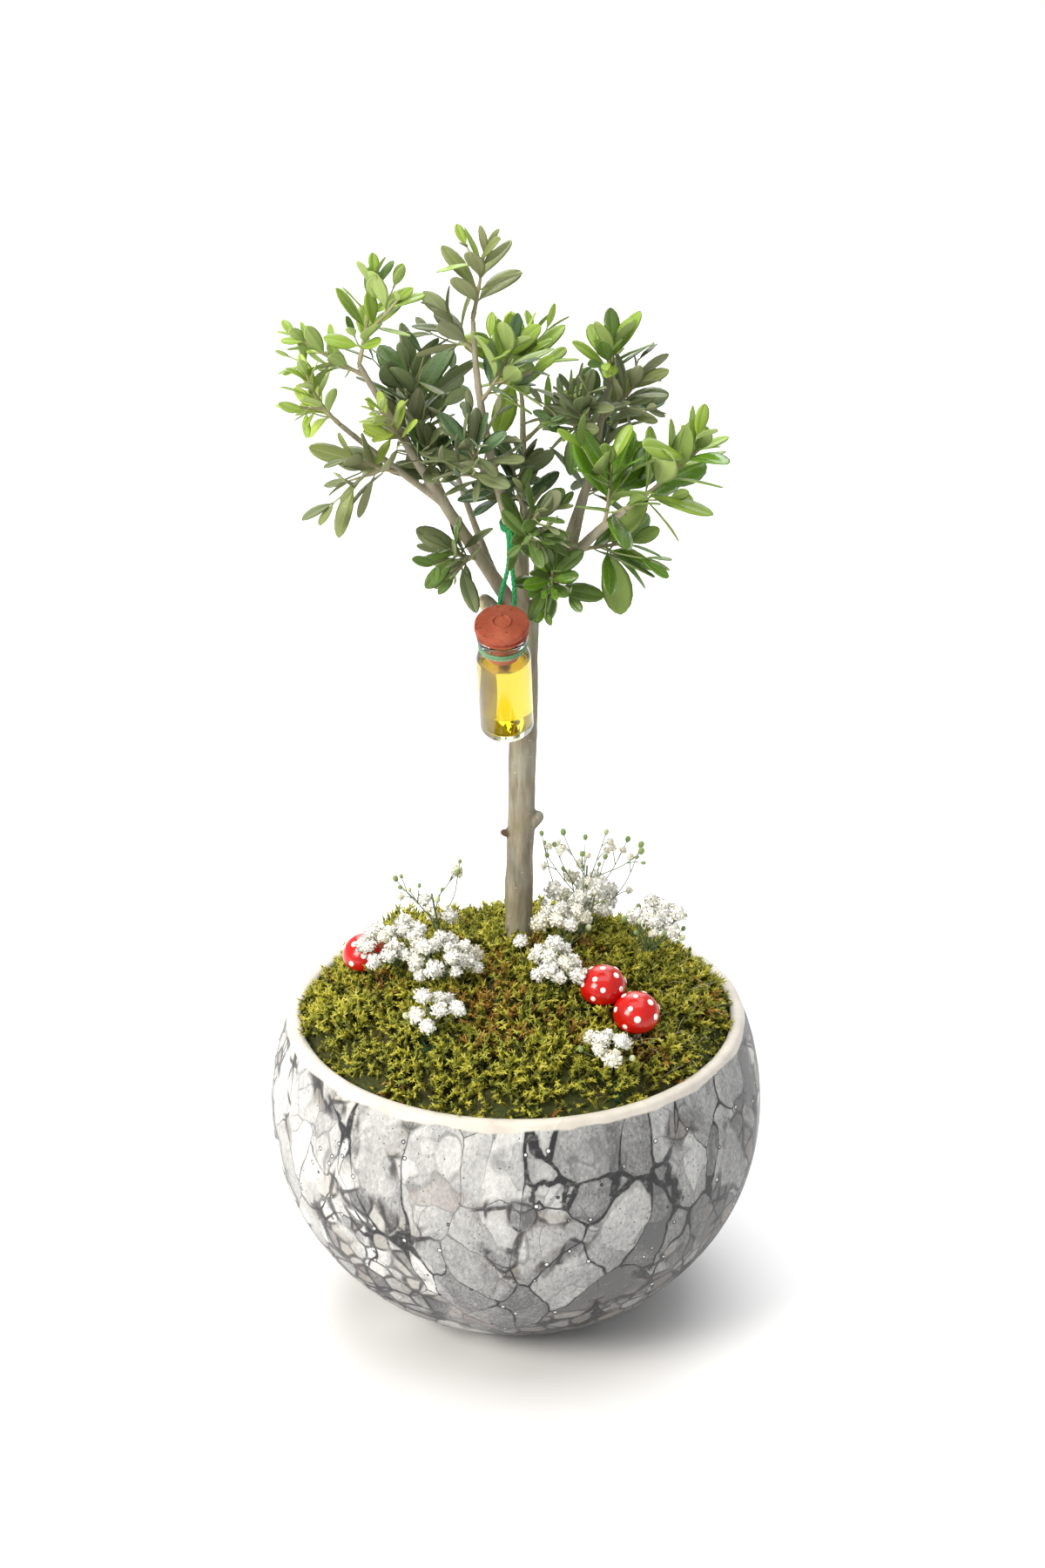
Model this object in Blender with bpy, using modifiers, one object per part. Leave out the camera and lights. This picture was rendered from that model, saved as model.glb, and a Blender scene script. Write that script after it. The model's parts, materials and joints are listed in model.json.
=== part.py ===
"""Olive bonsai in a round marbled bowl, with its moss, flower sprigs, toadstools and hanging oil vial.

Metres, +Z up. The bowl stands on the plane z = 0 with its axis on the Z axis; the front faces -Y.
The tree is a set of limbs, each a tapering tube that leaves its parent at an azimuth and a lean,
and of foliage masses, each a leafy spray that grows from a limb by one seeded rule.
"""

import math
import random
from typing import NamedTuple

import bmesh
import bpy
from mathutils import Matrix, Quaternion, Vector, geometry, noise
from mathutils.bvhtree import BVHTree

GAP = 0.0003  # clearance between neighbouring solids
WELD = 1e-6  # how close points are joined where a cap or a seam closes
UP = Vector((0.0, 0.0, 1.0))
FRONT = Vector((0.0, -1.0, 0.0))

# ---------------------------------------------------------------- the bowl and what fills it
POT_RADIUS = 0.100  # at the widest
POT_HEIGHT = 0.1267
POT_WIDEST_Z = 0.0844
POT_FOOT_RADIUS = 0.042
POT_RIM_RADIUS = 0.0912  # outside of the rim
WALL = 0.0050
FLOOR_Z = 0.009
LIP_ROUND = 0.0012
BOWL_STEPS = 36
UPPER_PIECES = 2  # of the wall's profile over its widest, and under it
LOWER_PIECES = 6
INNER_PIECES = 3

SOIL_EDGE_Z = 0.1130
SOIL_SEAT_Z = 0.1350  # the flat that the trunk stands on
SOIL_SEAT_RADIUS = 0.034
MOSS_EDGE_Z = 0.1212
MOSS_TOP_Z = 0.1505
MOSS_RINGS = 5
MOSS_DOME = 0.8  # how flat its top is
MOSS_BUMP = 0.0013
MOSS_BUMP_SIZE = 0.011

# ---------------------------------------------------------------- the tree's limbs
LIMB_SIDES = 7
TRUNK_SIDES = 10
LIMB_PIECE = 0.015  # length of one straight piece of a limb


class Limb(NamedTuple):
    """A tapering limb. Azimuth 0 is +X and 90 is +Y; lean is measured from upright. Degrees."""

    parent: str
    share: float  # how far along its parent it starts
    azimuth: float
    lean: float
    bend: float  # lean gained on the way to the tip
    length: float
    foot: float  # radius
    tip: float  # radius


TRUNK = Limb("", 0.0, 329.0, 1.6, -0.4, 0.1560, 0.0055, 0.0053)
TRUNK_FOOT = Vector((0.0004, 0.0140, SOIL_SEAT_Z + GAP))
ROOT_FLARE = 0.0022  # extra radius at the cut
FLARE_HEIGHT = 0.020  # over which it fades
TRUNK_HOLE_POINTS = 4  # of its path, that reach up through the moss

LIMBS = {
    "bough_left": Limb("trunk", 0.985, 198.0, 33.0, -5.0, 0.126, 0.0031, 0.0011),
    "bough_centre_low": Limb("trunk", 0.985, 250.0, 14.0, 14.0, 0.052, 0.0028, 0.0023),
    "bough_right_low": Limb("trunk", 0.975, 332.0, 26.0, 24.0, 0.070, 0.0031, 0.0014),
    "bough_back": Limb("trunk", 0.970, 92.0, 19.0, -4.0, 0.085, 0.0024, 0.0011),
    "bough_centre_high": Limb("bough_centre_low", 0.96, 153.0, 20.0, -18.0, 0.078, 0.0021, 0.0010),
    "bough_left_low": Limb("bough_left", 0.48, 201.0, 50.0, -3.0, 0.054, 0.0015, 0.0010),
    "bough_left_inner": Limb("bough_left", 0.33, 162.0, 36.0, -24.0, 0.046, 0.0015, 0.0010),
    "bough_right_high": Limb("bough_right_low", 0.50, 40.0, 18.0, -3.0, 0.070, 0.0020, 0.0011),
    "bough_back_left": Limb("bough_left", 0.16, 122.0, 44.0, -10.0, 0.062, 0.0016, 0.0010),
    "bough_back_right": Limb("bough_right_low", 0.26, 60.0, 46.0, -10.0, 0.058, 0.0016, 0.0010),
}


class Stub(NamedTuple):
    """A pruned stub on the trunk."""

    height: float  # above the trunk's cut
    azimuth: float
    lean: float
    length: float
    foot: float
    tip: float


STUBS = (
    Stub(0.0640, 350.0, 44.0, 0.0100, 0.0034, 0.0027),
    Stub(0.0620, 200.0, 68.0, 0.0078, 0.0022, 0.0014),
    Stub(0.1450, 205.0, 40.0, 0.0260, 0.0040, 0.0032),
)


class Mass(NamedTuple):
    """A leafy spray. Its stem leaves a limb at a share of the limb's length, as a limb does."""

    limb: str
    share: float
    azimuth: float
    lean: float
    bend: float
    length: float
    pairs: int  # opposite pairs of leaves on the stem
    leaf: float  # length of its longest leaf
    twigs: int  # side twigs
    phase: float  # degrees round the stem to its first pair
    tint: str
    seed: int


MASSES = {
    "foliage_left_top": Mass("bough_left", 1.0, 350, 13, -4, 0.034, 6, 0.0155, 1, 20, "young", 11),
    "foliage_left_far": Mass("bough_left", 0.96, 180, 64, -10, 0.030, 6, 0.0125, 1, 40, "young", 12),
    "foliage_left_tip": Mass("bough_left_low", 1.0, 199, 46, -30, 0.024, 6, 0.0125, 2, 60, "young", 13),
    "foliage_left_under": Mass("bough_left_low", 0.42, 212, 74, -16, 0.022, 4, 0.0230, 1, 10, "grown", 15),
    "foliage_left_shoot": Mass("bough_left", 0.70, 228, 48, -20, 0.022, 5, 0.0125, 1, 30, "young", 16),
    "foliage_left_back": Mass("bough_left", 0.62, 108, 48, -14, 0.030, 5, 0.0190, 1, 15, "grown", 17),
    "foliage_inner": Mass("bough_left_inner", 1.0, 168, 16, -8, 0.024, 5, 0.0260, 0, 75, "old", 18),
    "foliage_inner_front": Mass("bough_left_inner", 0.50, 250, 40, -16, 0.024, 5, 0.0200, 1, 25, "old", 19),
    "foliage_crown_top": Mass("bough_centre_high", 1.0, 0, 12, -4, 0.025, 5, 0.0215, 0, 55, "grown", 20),
    "foliage_crown_left": Mass("bough_centre_high", 0.84, 180, 40, -12, 0.018, 4, 0.0200, 0, 5, "grown", 21),
    "foliage_crown_right": Mass("bough_centre_high", 0.60, 335, 38, -16, 0.026, 5, 0.0220, 1, 50, "old", 22),
    "foliage_centre_front": Mass("bough_centre_high", 0.18, 215, 46, -18, 0.026, 5, 0.0210, 2, 70, "old", 23),
    "foliage_centre_base": Mass("bough_centre_low", 0.78, 310, 50, -10, 0.022, 5, 0.0200, 1, 35, "grown", 24),
    "foliage_back_top": Mass("bough_back", 1.0, 130, 10, -6, 0.024, 6, 0.0220, 2, 15, "young", 25),
    "foliage_back_mid": Mass("bough_back", 0.52, 250, 34, -16, 0.028, 5, 0.0200, 1, 30, "old", 26),
    "foliage_back_twig": Mass("bough_back", 0.84, 350, 46, -12, 0.032, 5, 0.0135, 0, 0, "young", 27),
    "foliage_back_left": Mass("bough_back_left", 1.0, 128, 32, -12, 0.028, 6, 0.0200, 1, 45, "grown", 28),
    "foliage_back_right": Mass("bough_back_right", 1.0, 56, 32, -10, 0.028, 6, 0.0200, 1, 20, "grown", 29),
    "foliage_right_top": Mass("bough_right_high", 1.0, 350, 8, -4, 0.015, 5, 0.0175, 2, 30, "young", 30),
    "foliage_right_side": Mass("bough_right_high", 0.80, 345, 50, -16, 0.020, 5, 0.0200, 0, 60, "grown", 31),
    "foliage_right_mid": Mass("bough_right_high", 0.66, 215, 34, -12, 0.024, 5, 0.0190, 1, 10, "old", 32),
    "foliage_right_back": Mass("bough_right_high", 0.30, 60, 46, -14, 0.028, 5, 0.0200, 1, 55, "grown", 33),
    "foliage_right_front": Mass("bough_right_low", 0.82, 285, 30, -20, 0.030, 5, 0.0240, 0, 40, "young", 34),
    "foliage_right_tip": Mass("bough_right_low", 1.0, 352, 52, -8, 0.036, 6, 0.0220, 0, 60, "young", 35),
    "foliage_right_under": Mass("bough_right_low", 0.60, 10, 82, 8, 0.020, 4, 0.0250, 0, 8, "grown", 36),
    "foliage_fork": Mass("bough_right_low", 0.30, 275, 60, -20, 0.018, 4, 0.0180, 1, 20, "grown", 37),
    "foliage_left_base": Mass("bough_left", 0.26, 222, 70, -14, 0.018, 4, 0.0190, 1, 65, "grown", 38),
}

STEM_RADIUS = 0.0009
TWIG_RADIUS = 0.0007
TIP_RADIUS = 0.0004
STEM_PIECES = 4
STEM_SIDES = 3
FIRST_PAIR = 0.26  # share of the stem below its first leaves
LAST_PAIR = 0.985  # where a leaf at the tip is rooted
OPEN_SPREAD = 54.0  # degrees that the lowest leaves stand off their twig
TIP_SPREAD = 26.0  # and the last ones
FACING_UP = 0.4  # how far a leaf's face turns to the sky
LEAF_WIDTH = 0.48  # share of the leaf's length
LEAF_THICKNESS = 0.030
LEAF_DROOP = 0.10
LEAF_SUNK = 0.0003  # how far beyond the twig's middle a leaf's root lies
LEAF_CLEAR = 0.0004  # kept free round a leaf
LEAF_BASE = 0.22  # share of a leaf that may meet its own spray
LEAF_TRIES = ((0, 0), (22, 6), (-22, 6), (44, -8), (-44, -8))  # turns and spreads, where one is in the way
SPACE = 1.30  # how far from its stem a mass may reach, in lengths of its longest leaf
TWIG_SHARE = 0.55  # length of a side twig on its stem's
TWIG_PAIRS = 2
TWIG_LEAF = 0.8  # length of its leaves on its stem's
TWIG_PHASE = 70.0
FIRST_TWIG = 0.36  # share of the stem below the first side twig
TWIG_STEP = 0.26  # and between side twigs
TWIG_CURVE = 0.10  # how far it curves to its stem's direction
TURN_JITTER = 16.0  # degrees
SPREAD_JITTER = 9.0
ROLL_JITTER = 26.0

# ---------------------------------------------------------------- the vial, its stopper and thread
VIAL_FOOT = Vector((-0.0034, -0.0034, 0.2526))
VIAL_AZIMUTH = 265.0  # its top hangs forward, off the thread behind its neck
VIAL_LEAN = 22.0
VIAL_STEPS = 15
VIAL_RADIUS = 0.0104
VIAL_SHOULDER_Z = 0.0372
VIAL_NECK_Z = 0.0415
VIAL_NECK_RADIUS = 0.0080
VIAL_LIP_Z = 0.0456
VIAL_LIP_RADIUS = 0.0097
VIAL_TOP_Z = 0.0489
VIAL_WALL = 0.0010
VIAL_BASE = 0.0028
BORE_RADIUS = 0.0062
HEEL = 0.0022
EDGE = 0.0008  # how far the edges of glass, oil and stopper are taken off
OIL_TOP_Z = 0.0361
STOPPER_RADIUS = 0.0104
STOPPER_HEIGHT = 0.0052
PLUG_FOOT_Z = 0.0388
THREAD_RADIUS = 0.00055
TURN_SPACING = 1.5 * THREAD_RADIUS  # between its two turns round the neck
NECK_TURN_LIFT = 0.0012  # of the lower one over the neck's foot
THREAD_STEPS = 12
THREAD_SIDES = 4
HANGER_SHARE = 0.94  # where the thread is tied on its bough
HANGER_SPREAD = 0.0026  # between the strands' feet and the middle
KNOT_RADIUS = 0.0014
KNOT_SIDES = 6

# ---------------------------------------------------------------- toadstools and flowers
TOADSTOOLS = {"left": (-0.0610, 0.0105), "right": (0.0342, -0.0290), "front": (0.0470, -0.0400)}
CAP_RADIUS = 0.0092
CAP_HEIGHT = 0.0085
CAP_STEPS = 14
CAP_RINGS = 4
CAP_INSET = 0.86  # share of its radius that its underside keeps
CAP_LIP = 0.0012
CAP_LEANS = {"left": (255.0, 14.0), "right": (262.0, 18.0), "front": (268.0, 24.0)}
CAP_LIFT = 0.0075  # of the cap's underside over the moss
STALK_RADIUS = 0.0022
STALK_DEPTH = 0.0060  # in the moss
STALK_SIDES = 8


class Sprig(NamedTuple):
    """A spray of small flowers: a stalk that forks into thin ones, each with a head or a bud."""

    x: float
    y: float
    azimuth: float
    lean: float
    height: float
    spread: float  # degrees
    heads: int
    buds: int
    seed: int


SPRIGS = {
    "sprig_left_back": Sprig(-0.046, -0.004, 190, 12, 0.018, 44, 5, 1, 41),
    "sprig_left_mid": Sprig(-0.028, -0.020, 120, 8, 0.018, 50, 5, 0, 42),
    "sprig_left_front": Sprig(-0.031, -0.047, 250, 12, 0.015, 52, 5, 0, 43),
    "sprig_left_buds": Sprig(-0.030, 0.016, 170, 10, 0.032, 36, 1, 3, 44),
    "sprig_centre": Sprig(0.017, -0.024, 250, 10, 0.015, 50, 4, 0, 46),
    "sprig_centre_back": Sprig(0.020, 0.000, 90, 8, 0.018, 40, 3, 0, 47),
    "sprig_front": Sprig(0.034, -0.063, 300, 8, 0.014, 48, 4, 0, 48),
    "sprig_back": Sprig(0.027, 0.022, 75, 14, 0.042, 34, 5, 2, 49),
    "sprig_right": Sprig(0.052, 0.008, 20, 14, 0.022, 44, 4, 2, 50),
}
SPRIG_DEPTH = 0.005
SPRIG_FOOT = 0.0007
STALK_FOOT = 0.0006
STALK_TIP = 0.0004
FORK_SHARE = 0.42  # of a sprig's height, up to where its last stalk leaves
STALK_SHARE = 0.75  # length of a thin stalk on the sprig's height
STALK_STEP = 0.0012  # between stalks, down from there
HEAD_RADIUS = 0.0029
BUD_RADIUS = 0.0012
HEAD_SIDES = 5
BUD_SIDES = 3
GOLDEN_ANGLE = 137.5


# ================================================================ scene and materials
def clear_scene():
    for obj in list(bpy.data.objects):
        bpy.data.objects.remove(obj, do_unlink=True)


def new_collection(name):
    collection = bpy.data.collections.new(name)
    bpy.context.scene.collection.children.link(collection)
    return collection


FINISHES = {  # colour, roughness
    "ceramic": ((0.62, 0.61, 0.59), 0.55),
    "soil": ((0.05, 0.03, 0.02), 0.95),
    "moss": ((0.17, 0.18, 0.03), 0.95),
    "bark": ((0.33, 0.28, 0.20), 0.85),
    "young": ((0.36, 0.47, 0.10), 0.5),
    "grown": ((0.17, 0.25, 0.08), 0.5),
    "old": ((0.15, 0.19, 0.11), 0.55),
    "glass": ((0.80, 0.82, 0.78), 0.08),
    "oil": ((0.80, 0.62, 0.08), 0.1),
    "stopper": ((0.55, 0.13, 0.06), 0.5),
    "thread": ((0.05, 0.38, 0.15), 0.5),
    "cap": ((0.75, 0.01, 0.01), 0.2),
    "stalk": ((0.80, 0.78, 0.70), 0.7),
    "blossom": ((0.85, 0.86, 0.78), 0.8),
}


def finish(obj, name):
    mat = bpy.data.materials.get(name)
    if mat is None:
        colour, roughness = FINISHES[name]
        mat = bpy.data.materials.new(name)
        mat.use_nodes = True
        shader = mat.node_tree.nodes["Principled BSDF"]
        shader.inputs["Base Color"].default_value = (*colour, 1.0)
        shader.inputs["Roughness"].default_value = roughness
    obj.data.materials.clear()
    obj.data.materials.append(mat)
    obj.data.shade_smooth()
    obj.data.set_sharp_from_angle(angle=math.radians(40))


# ================================================================ modelling tools
def baked(obj, weld=0.0):
    """The object's evaluated mesh in world space, as a fresh object that takes its place."""
    bpy.context.view_layer.update()
    graph = bpy.context.evaluated_depsgraph_get()
    mesh = bpy.data.meshes.new_from_object(obj.evaluated_get(graph))
    mesh.transform(obj.matrix_world)
    bm = bmesh.new()
    bm.from_mesh(mesh)
    if weld:
        bmesh.ops.remove_doubles(bm, verts=bm.verts, dist=weld)
    bmesh.ops.recalc_face_normals(bm, faces=bm.faces)
    bm.to_mesh(mesh)
    bm.free()
    name = obj.name
    collection = obj.users_collection[0]
    data = obj.data
    bpy.data.objects.remove(obj)
    (bpy.data.curves if isinstance(data, bpy.types.Curve) else bpy.data.meshes).remove(data)
    made = bpy.data.objects.new(name, mesh)
    collection.objects.link(made)
    return made


def turned(name, profile, steps, collection):
    """A solid of revolution about Z. Its profile of (radius, z) runs down the outer side."""
    mesh = bpy.data.meshes.new(name)
    edges = [(i, i + 1) for i in range(len(profile) - 1)]
    mesh.from_pydata([(r, 0.0, z) for r, z in profile], edges, [])
    obj = bpy.data.objects.new(name, mesh)
    collection.objects.link(obj)
    screw = obj.modifiers.new("turn", "SCREW")
    screw.steps = screw.render_steps = steps
    screw.use_merge_vertices = True
    screw.merge_threshold = WELD
    return baked(obj, WELD)


def tube(name, path, radii, sides, collection):
    """A tapering round tube along a path, with capped ends."""
    ring = bpy.data.curves.new("ring", "CURVE")
    outline = ring.splines.new("POLY")
    outline.points.add(sides - 1)
    for i, point in enumerate(outline.points):
        angle = 2 * math.pi * i / sides
        point.co = (math.cos(angle), math.sin(angle), 0.0, 1.0)
    outline.use_cyclic_u = True
    section = bpy.data.objects.new("section", ring)
    curve = bpy.data.curves.new(name, "CURVE")
    curve.dimensions = "3D"
    curve.bevel_mode = "OBJECT"
    curve.bevel_object = section
    curve.use_fill_caps = True
    spline = curve.splines.new("POLY")
    spline.points.add(len(path) - 1)
    for point, place, radius in zip(spline.points, path, radii):
        point.co = (*place, 1.0)
        point.radius = radius
    obj = bpy.data.objects.new(name, curve)
    collection.objects.link(obj)
    made = baked(obj, WELD)
    bpy.data.objects.remove(section)
    bpy.data.curves.remove(ring)
    return made


def boolean(obj, operation, others, solver="EXACT"):
    """A Boolean with a collection, applied. The collection goes, with its objects."""
    modifier = obj.modifiers.new(operation.lower(), "BOOLEAN")
    modifier.operation = operation
    modifier.operand_type = "COLLECTION"
    modifier.collection = others
    modifier.solver = solver
    made = baked(obj)
    for other in list(others.objects):
        bpy.data.objects.remove(other, do_unlink=True)
    bpy.data.collections.remove(others)
    return made


def mesh_tree(mesh):
    """A search tree of a mesh's faces."""
    return BVHTree.FromPolygons([v.co for v in mesh.vertices], [p.vertices for p in mesh.polygons])


def touches(tree, others):
    return any(tree.overlap(other) for other in others)


# ================================================================ paths
def heading(azimuth, lean):
    """The unit vector that leans from upright by lean degrees, towards azimuth."""
    a = math.radians(azimuth)
    b = math.radians(lean)
    return Vector((math.sin(b) * math.cos(a), math.sin(b) * math.sin(a), math.cos(b)))


def placed(point, axis):
    """The matrix that puts an upright piece's foot at a point and its Z along axis."""
    return Matrix.Translation(point) @ axis.to_track_quat("Z", "X").to_matrix().to_4x4()


def arc_path(foot, azimuth, lean, bend, length, pieces):
    """Points along a limb whose lean changes evenly from foot to tip."""
    path = [Vector(foot)]
    for i in range(pieces):
        path.append(path[-1] + heading(azimuth, lean + bend * (i + 0.5) / pieces) * (length / pieces))
    return path


def along(path, share):
    """The point a share of the way along a path, and the path's direction there."""
    place = share * (len(path) - 1)
    i = min(int(place), len(path) - 2)
    step = path[i + 1] - path[i]
    return path[i] + step * (place - i), step.normalized()


def distance_to_path(point, path):
    best = math.inf
    for start, end in zip(path, path[1:]):
        near, share = geometry.intersect_point_line(point, start, end)
        near = start if share < 0 else end if share > 1 else near
        best = min(best, (point - near).length)
    return best


def tapered(count, foot, tip):
    """Radii from foot to tip, one for each point of a path."""
    return [foot + (tip - foot) * i / (count - 1) for i in range(count)]


def longer(path, extra):
    """The same path with both its ends moved out."""
    first = (path[0] - path[1]).normalized() * extra
    last = (path[-1] - path[-2]).normalized() * extra
    return [path[0] + first, *path[1:-1], path[-1] + last]


# ================================================================ bowl, soil and moss
def bowl_radius(z, inset=0.0):
    """Radius of the bowl's wall at a height: two quarter ellipses that meet at the widest."""
    edge = POT_RIM_RADIUS if z > POT_WIDEST_Z else POT_FOOT_RADIUS
    rise = POT_HEIGHT - POT_WIDEST_Z if z > POT_WIDEST_Z else POT_WIDEST_Z
    semi = rise / math.sqrt(1 - (edge / POT_RADIUS) ** 2)
    share = (z - POT_WIDEST_Z) / (semi - inset)
    return (POT_RADIUS - inset) * math.sqrt(max(0.0, 1 - share * share))


def arc_levels(edge, edge_radius, pieces):
    """Heights from the widest to an edge of the wall, evenly spaced along its quarter ellipse."""
    last = math.acos(edge_radius / POT_RADIUS)
    return [POT_WIDEST_Z + (edge - POT_WIDEST_Z) * math.sin(last * i / pieces) / math.sin(last)
            for i in range(pieces + 1)]


def wall_points(bottom, top, inset, pieces):
    """Points of (radius, z) down the wall, offset inwards."""
    upper = arc_levels(top, POT_RIM_RADIUS, UPPER_PIECES)
    lower = arc_levels(bottom, POT_FOOT_RADIUS, pieces)
    return [(bowl_radius(z, inset), z) for z in [*reversed(upper[1:]), *lower]]


def make_pot(parts):
    inner = wall_points(FLOOR_Z, POT_HEIGHT, WALL, INNER_PIECES)
    outer = wall_points(0.0, POT_HEIGHT - LIP_ROUND, 0.0, LOWER_PIECES)
    lip = []
    for i in range(2):
        angle = math.pi / 2 * i / 2
        lip.append((POT_RIM_RADIUS - LIP_ROUND * (1 - math.sin(angle)),
                    POT_HEIGHT - LIP_ROUND * (1 - math.cos(angle))))
    profile = [(0.0, FLOOR_Z), *reversed(inner), *lip, *outer, (0.0, 0.0)]
    finish(turned("pot", profile, BOWL_STEPS, parts), "ceramic")


def moss_height(radius):
    """Height of the moss at a distance from the bowl's axis."""
    share = min(radius / bowl_radius(MOSS_EDGE_Z, WALL), 1.0)
    return MOSS_EDGE_Z + (MOSS_TOP_Z - MOSS_EDGE_Z) * (1 - share * share) ** MOSS_DOME


def cavity_radius(z):
    """Radius of what fills the bowl at a height, clear of the straight pieces of its inner wall."""
    points = wall_points(FLOOR_Z, POT_HEIGHT, WALL, INNER_PIECES)
    for (upper, top), (lower, bottom) in zip(points, points[1:]):
        if z >= bottom:
            return lower + (upper - lower) * (z - bottom) / (top - bottom) - 2 * GAP
    return points[-1][0] - 2 * GAP


def make_soil(parts):
    corners = [z for _, z in wall_points(FLOOR_Z, POT_HEIGHT, WALL, INNER_PIECES)]
    levels = [SOIL_EDGE_Z, *[z for z in corners if FLOOR_Z + GAP < z < SOIL_EDGE_Z], FLOOR_Z + GAP]
    sides = [(cavity_radius(z), z) for z in levels]
    profile = [(0.0, SOIL_SEAT_Z), (SOIL_SEAT_RADIUS, SOIL_SEAT_Z), *sides, (0.0, FLOOR_Z + GAP)]
    finish(turned("soil", profile, BOWL_STEPS, parts), "soil")


def make_moss(parts, cutters):
    """A bumpy cushion over the soil, cut clear of all that stands in it."""
    radius = cavity_radius(MOSS_EDGE_Z)
    profile = []
    for i in range(MOSS_RINGS):
        r = radius * math.sin(math.pi / 2 * i / MOSS_RINGS)
        profile.append((r, moss_height(r)))
    profile.append((radius, MOSS_EDGE_Z))
    foot = SOIL_EDGE_Z + GAP
    profile += [(cavity_radius(foot), foot), (SOIL_SEAT_RADIUS, SOIL_SEAT_Z + GAP)]
    profile.append((0.0, SOIL_SEAT_Z + GAP))
    moss = turned("moss", profile, BOWL_STEPS, parts)
    for vertex in moss.data.vertices:
        r = math.hypot(vertex.co.x, vertex.co.y)
        if r < radius - GAP and vertex.co.z > moss_height(r) - GAP:
            vertex.co.z += MOSS_BUMP * noise.noise(vertex.co / MOSS_BUMP_SIZE)
    finish(boolean(moss, "DIFFERENCE", cutters), "moss")


# ================================================================ trunk and boughs
def limb_path(limb, paths):
    foot = along(paths[limb.parent], limb.share)[0] if limb.parent else TRUNK_FOOT
    pieces = max(3, round(limb.length / LIMB_PIECE))
    return arc_path(foot, limb.azimuth, limb.lean, limb.bend, limb.length, pieces)


def limb_paths():
    """The path of every limb, by name."""
    paths = {"trunk": limb_path(TRUNK, {})}
    for name, limb in LIMBS.items():
        paths[name] = limb_path(limb, paths)
    return paths


def trunk_radii(path):
    radii = []
    for point in path:
        rise = point.z - TRUNK_FOOT.z
        flare = ROOT_FLARE * max(0.0, 1 - rise / FLARE_HEIGHT) ** 2
        radii.append(TRUNK.foot + (TRUNK.tip - TRUNK.foot) * rise / TRUNK.length + flare)
    return radii


def stub_path(stub, trunk):
    foot = along(trunk, stub.height / TRUNK.length)[0]
    return arc_path(foot, stub.azimuth, stub.lean, 0.0, stub.length, 2)


def limb_solid(name, paths, collection, extra=0.0):
    """A limb's tube, swollen by extra all round for use as a cutter."""
    limb = LIMBS[name]
    path = longer(paths[name], extra) if extra else paths[name]
    radii = [r + extra for r in tapered(len(path), limb.foot, limb.tip)]
    return tube(name, path, radii, LIMB_SIDES, collection)


def trunk_solid(paths, collection, extra=0.0):
    """The trunk with its pruned stubs fused on."""
    path = paths["trunk"]
    radii = [r + extra for r in trunk_radii(path)]
    trunk = tube("trunk", longer(path, extra) if extra else path, radii, TRUNK_SIDES, collection)
    stubs = new_collection("stubs")
    for stub in STUBS:
        twig = stub_path(stub, path)
        radii = [r + extra for r in tapered(len(twig), stub.foot, stub.tip)]
        tube("stub", longer(twig, extra) if extra else twig, radii, LIMB_SIDES, stubs)
    return boolean(trunk, "UNION", stubs)


def make_limbs(parts, paths):
    """The trunk and boughs. Each bough is cut to seat on the trunk and on the boughs before it."""
    finish(trunk_solid(paths, parts), "bark")
    for name in LIMBS:
        bough = limb_solid(name, paths, parts)
        tree = mesh_tree(bough.data)
        cutters = new_collection("cutters")
        trunk_solid(paths, cutters, GAP)
        for other in LIMBS:
            if other == name:
                break
            limb_solid(other, paths, cutters, GAP)
        drop_clear(cutters, tree)
        finish(boolean(bough, "DIFFERENCE", cutters), "bark")


def drop_clear(collection, tree):
    """Removes the collection's objects that the tree doesn't touch."""
    for obj in list(collection.objects):
        if not mesh_tree(obj.data).overlap(tree):
            bpy.data.objects.remove(obj, do_unlink=True)


# ================================================================ foliage
def leaf_mesh(root, direction, normal, length, margin=0.0):
    """One leaf: a four-sided blade with a point above and below, its tip drooping away from normal."""
    bm = bmesh.new()
    bmesh.ops.create_uvsphere(bm, u_segments=4, v_segments=2, radius=1.0)
    half_width = LEAF_WIDTH * length / 2 + margin
    half_thickness = LEAF_THICKNESS * length / 2 + margin
    side = direction.cross(normal)
    for vertex in bm.verts:
        share = (1 + vertex.co.y) / 2
        width = vertex.co.x * half_width
        rise = vertex.co.z * half_thickness - LEAF_DROOP * length * share * share
        reach = share * length + margin * vertex.co.y
        vertex.co = root + direction * reach + side * width + normal * rise
    mesh = bpy.data.meshes.new("leaf")
    bm.to_mesh(mesh)
    bm.free()
    return mesh


def across(direction, angle):
    """The unit vector at right angles to direction, turned round it by angle degrees."""
    side = direction.cross(UP) if abs(direction.z) < 0.98 else direction.cross(Vector((0.0, 1.0, 0.0)))
    return Quaternion(direction, math.radians(angle)) @ side.normalized()


def leaf_frame(direction, angle, spread, roll):
    """The direction of a leaf that stands off a twig at a spread, and its upper side's normal."""
    radial = across(direction, angle)
    leaf = direction * math.cos(math.radians(spread)) + radial * math.sin(math.radians(spread))
    normal = direction + UP * FACING_UP
    normal = (normal - leaf * normal.dot(leaf)).normalized()
    return leaf, Quaternion(leaf, math.radians(roll)) @ normal


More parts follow.
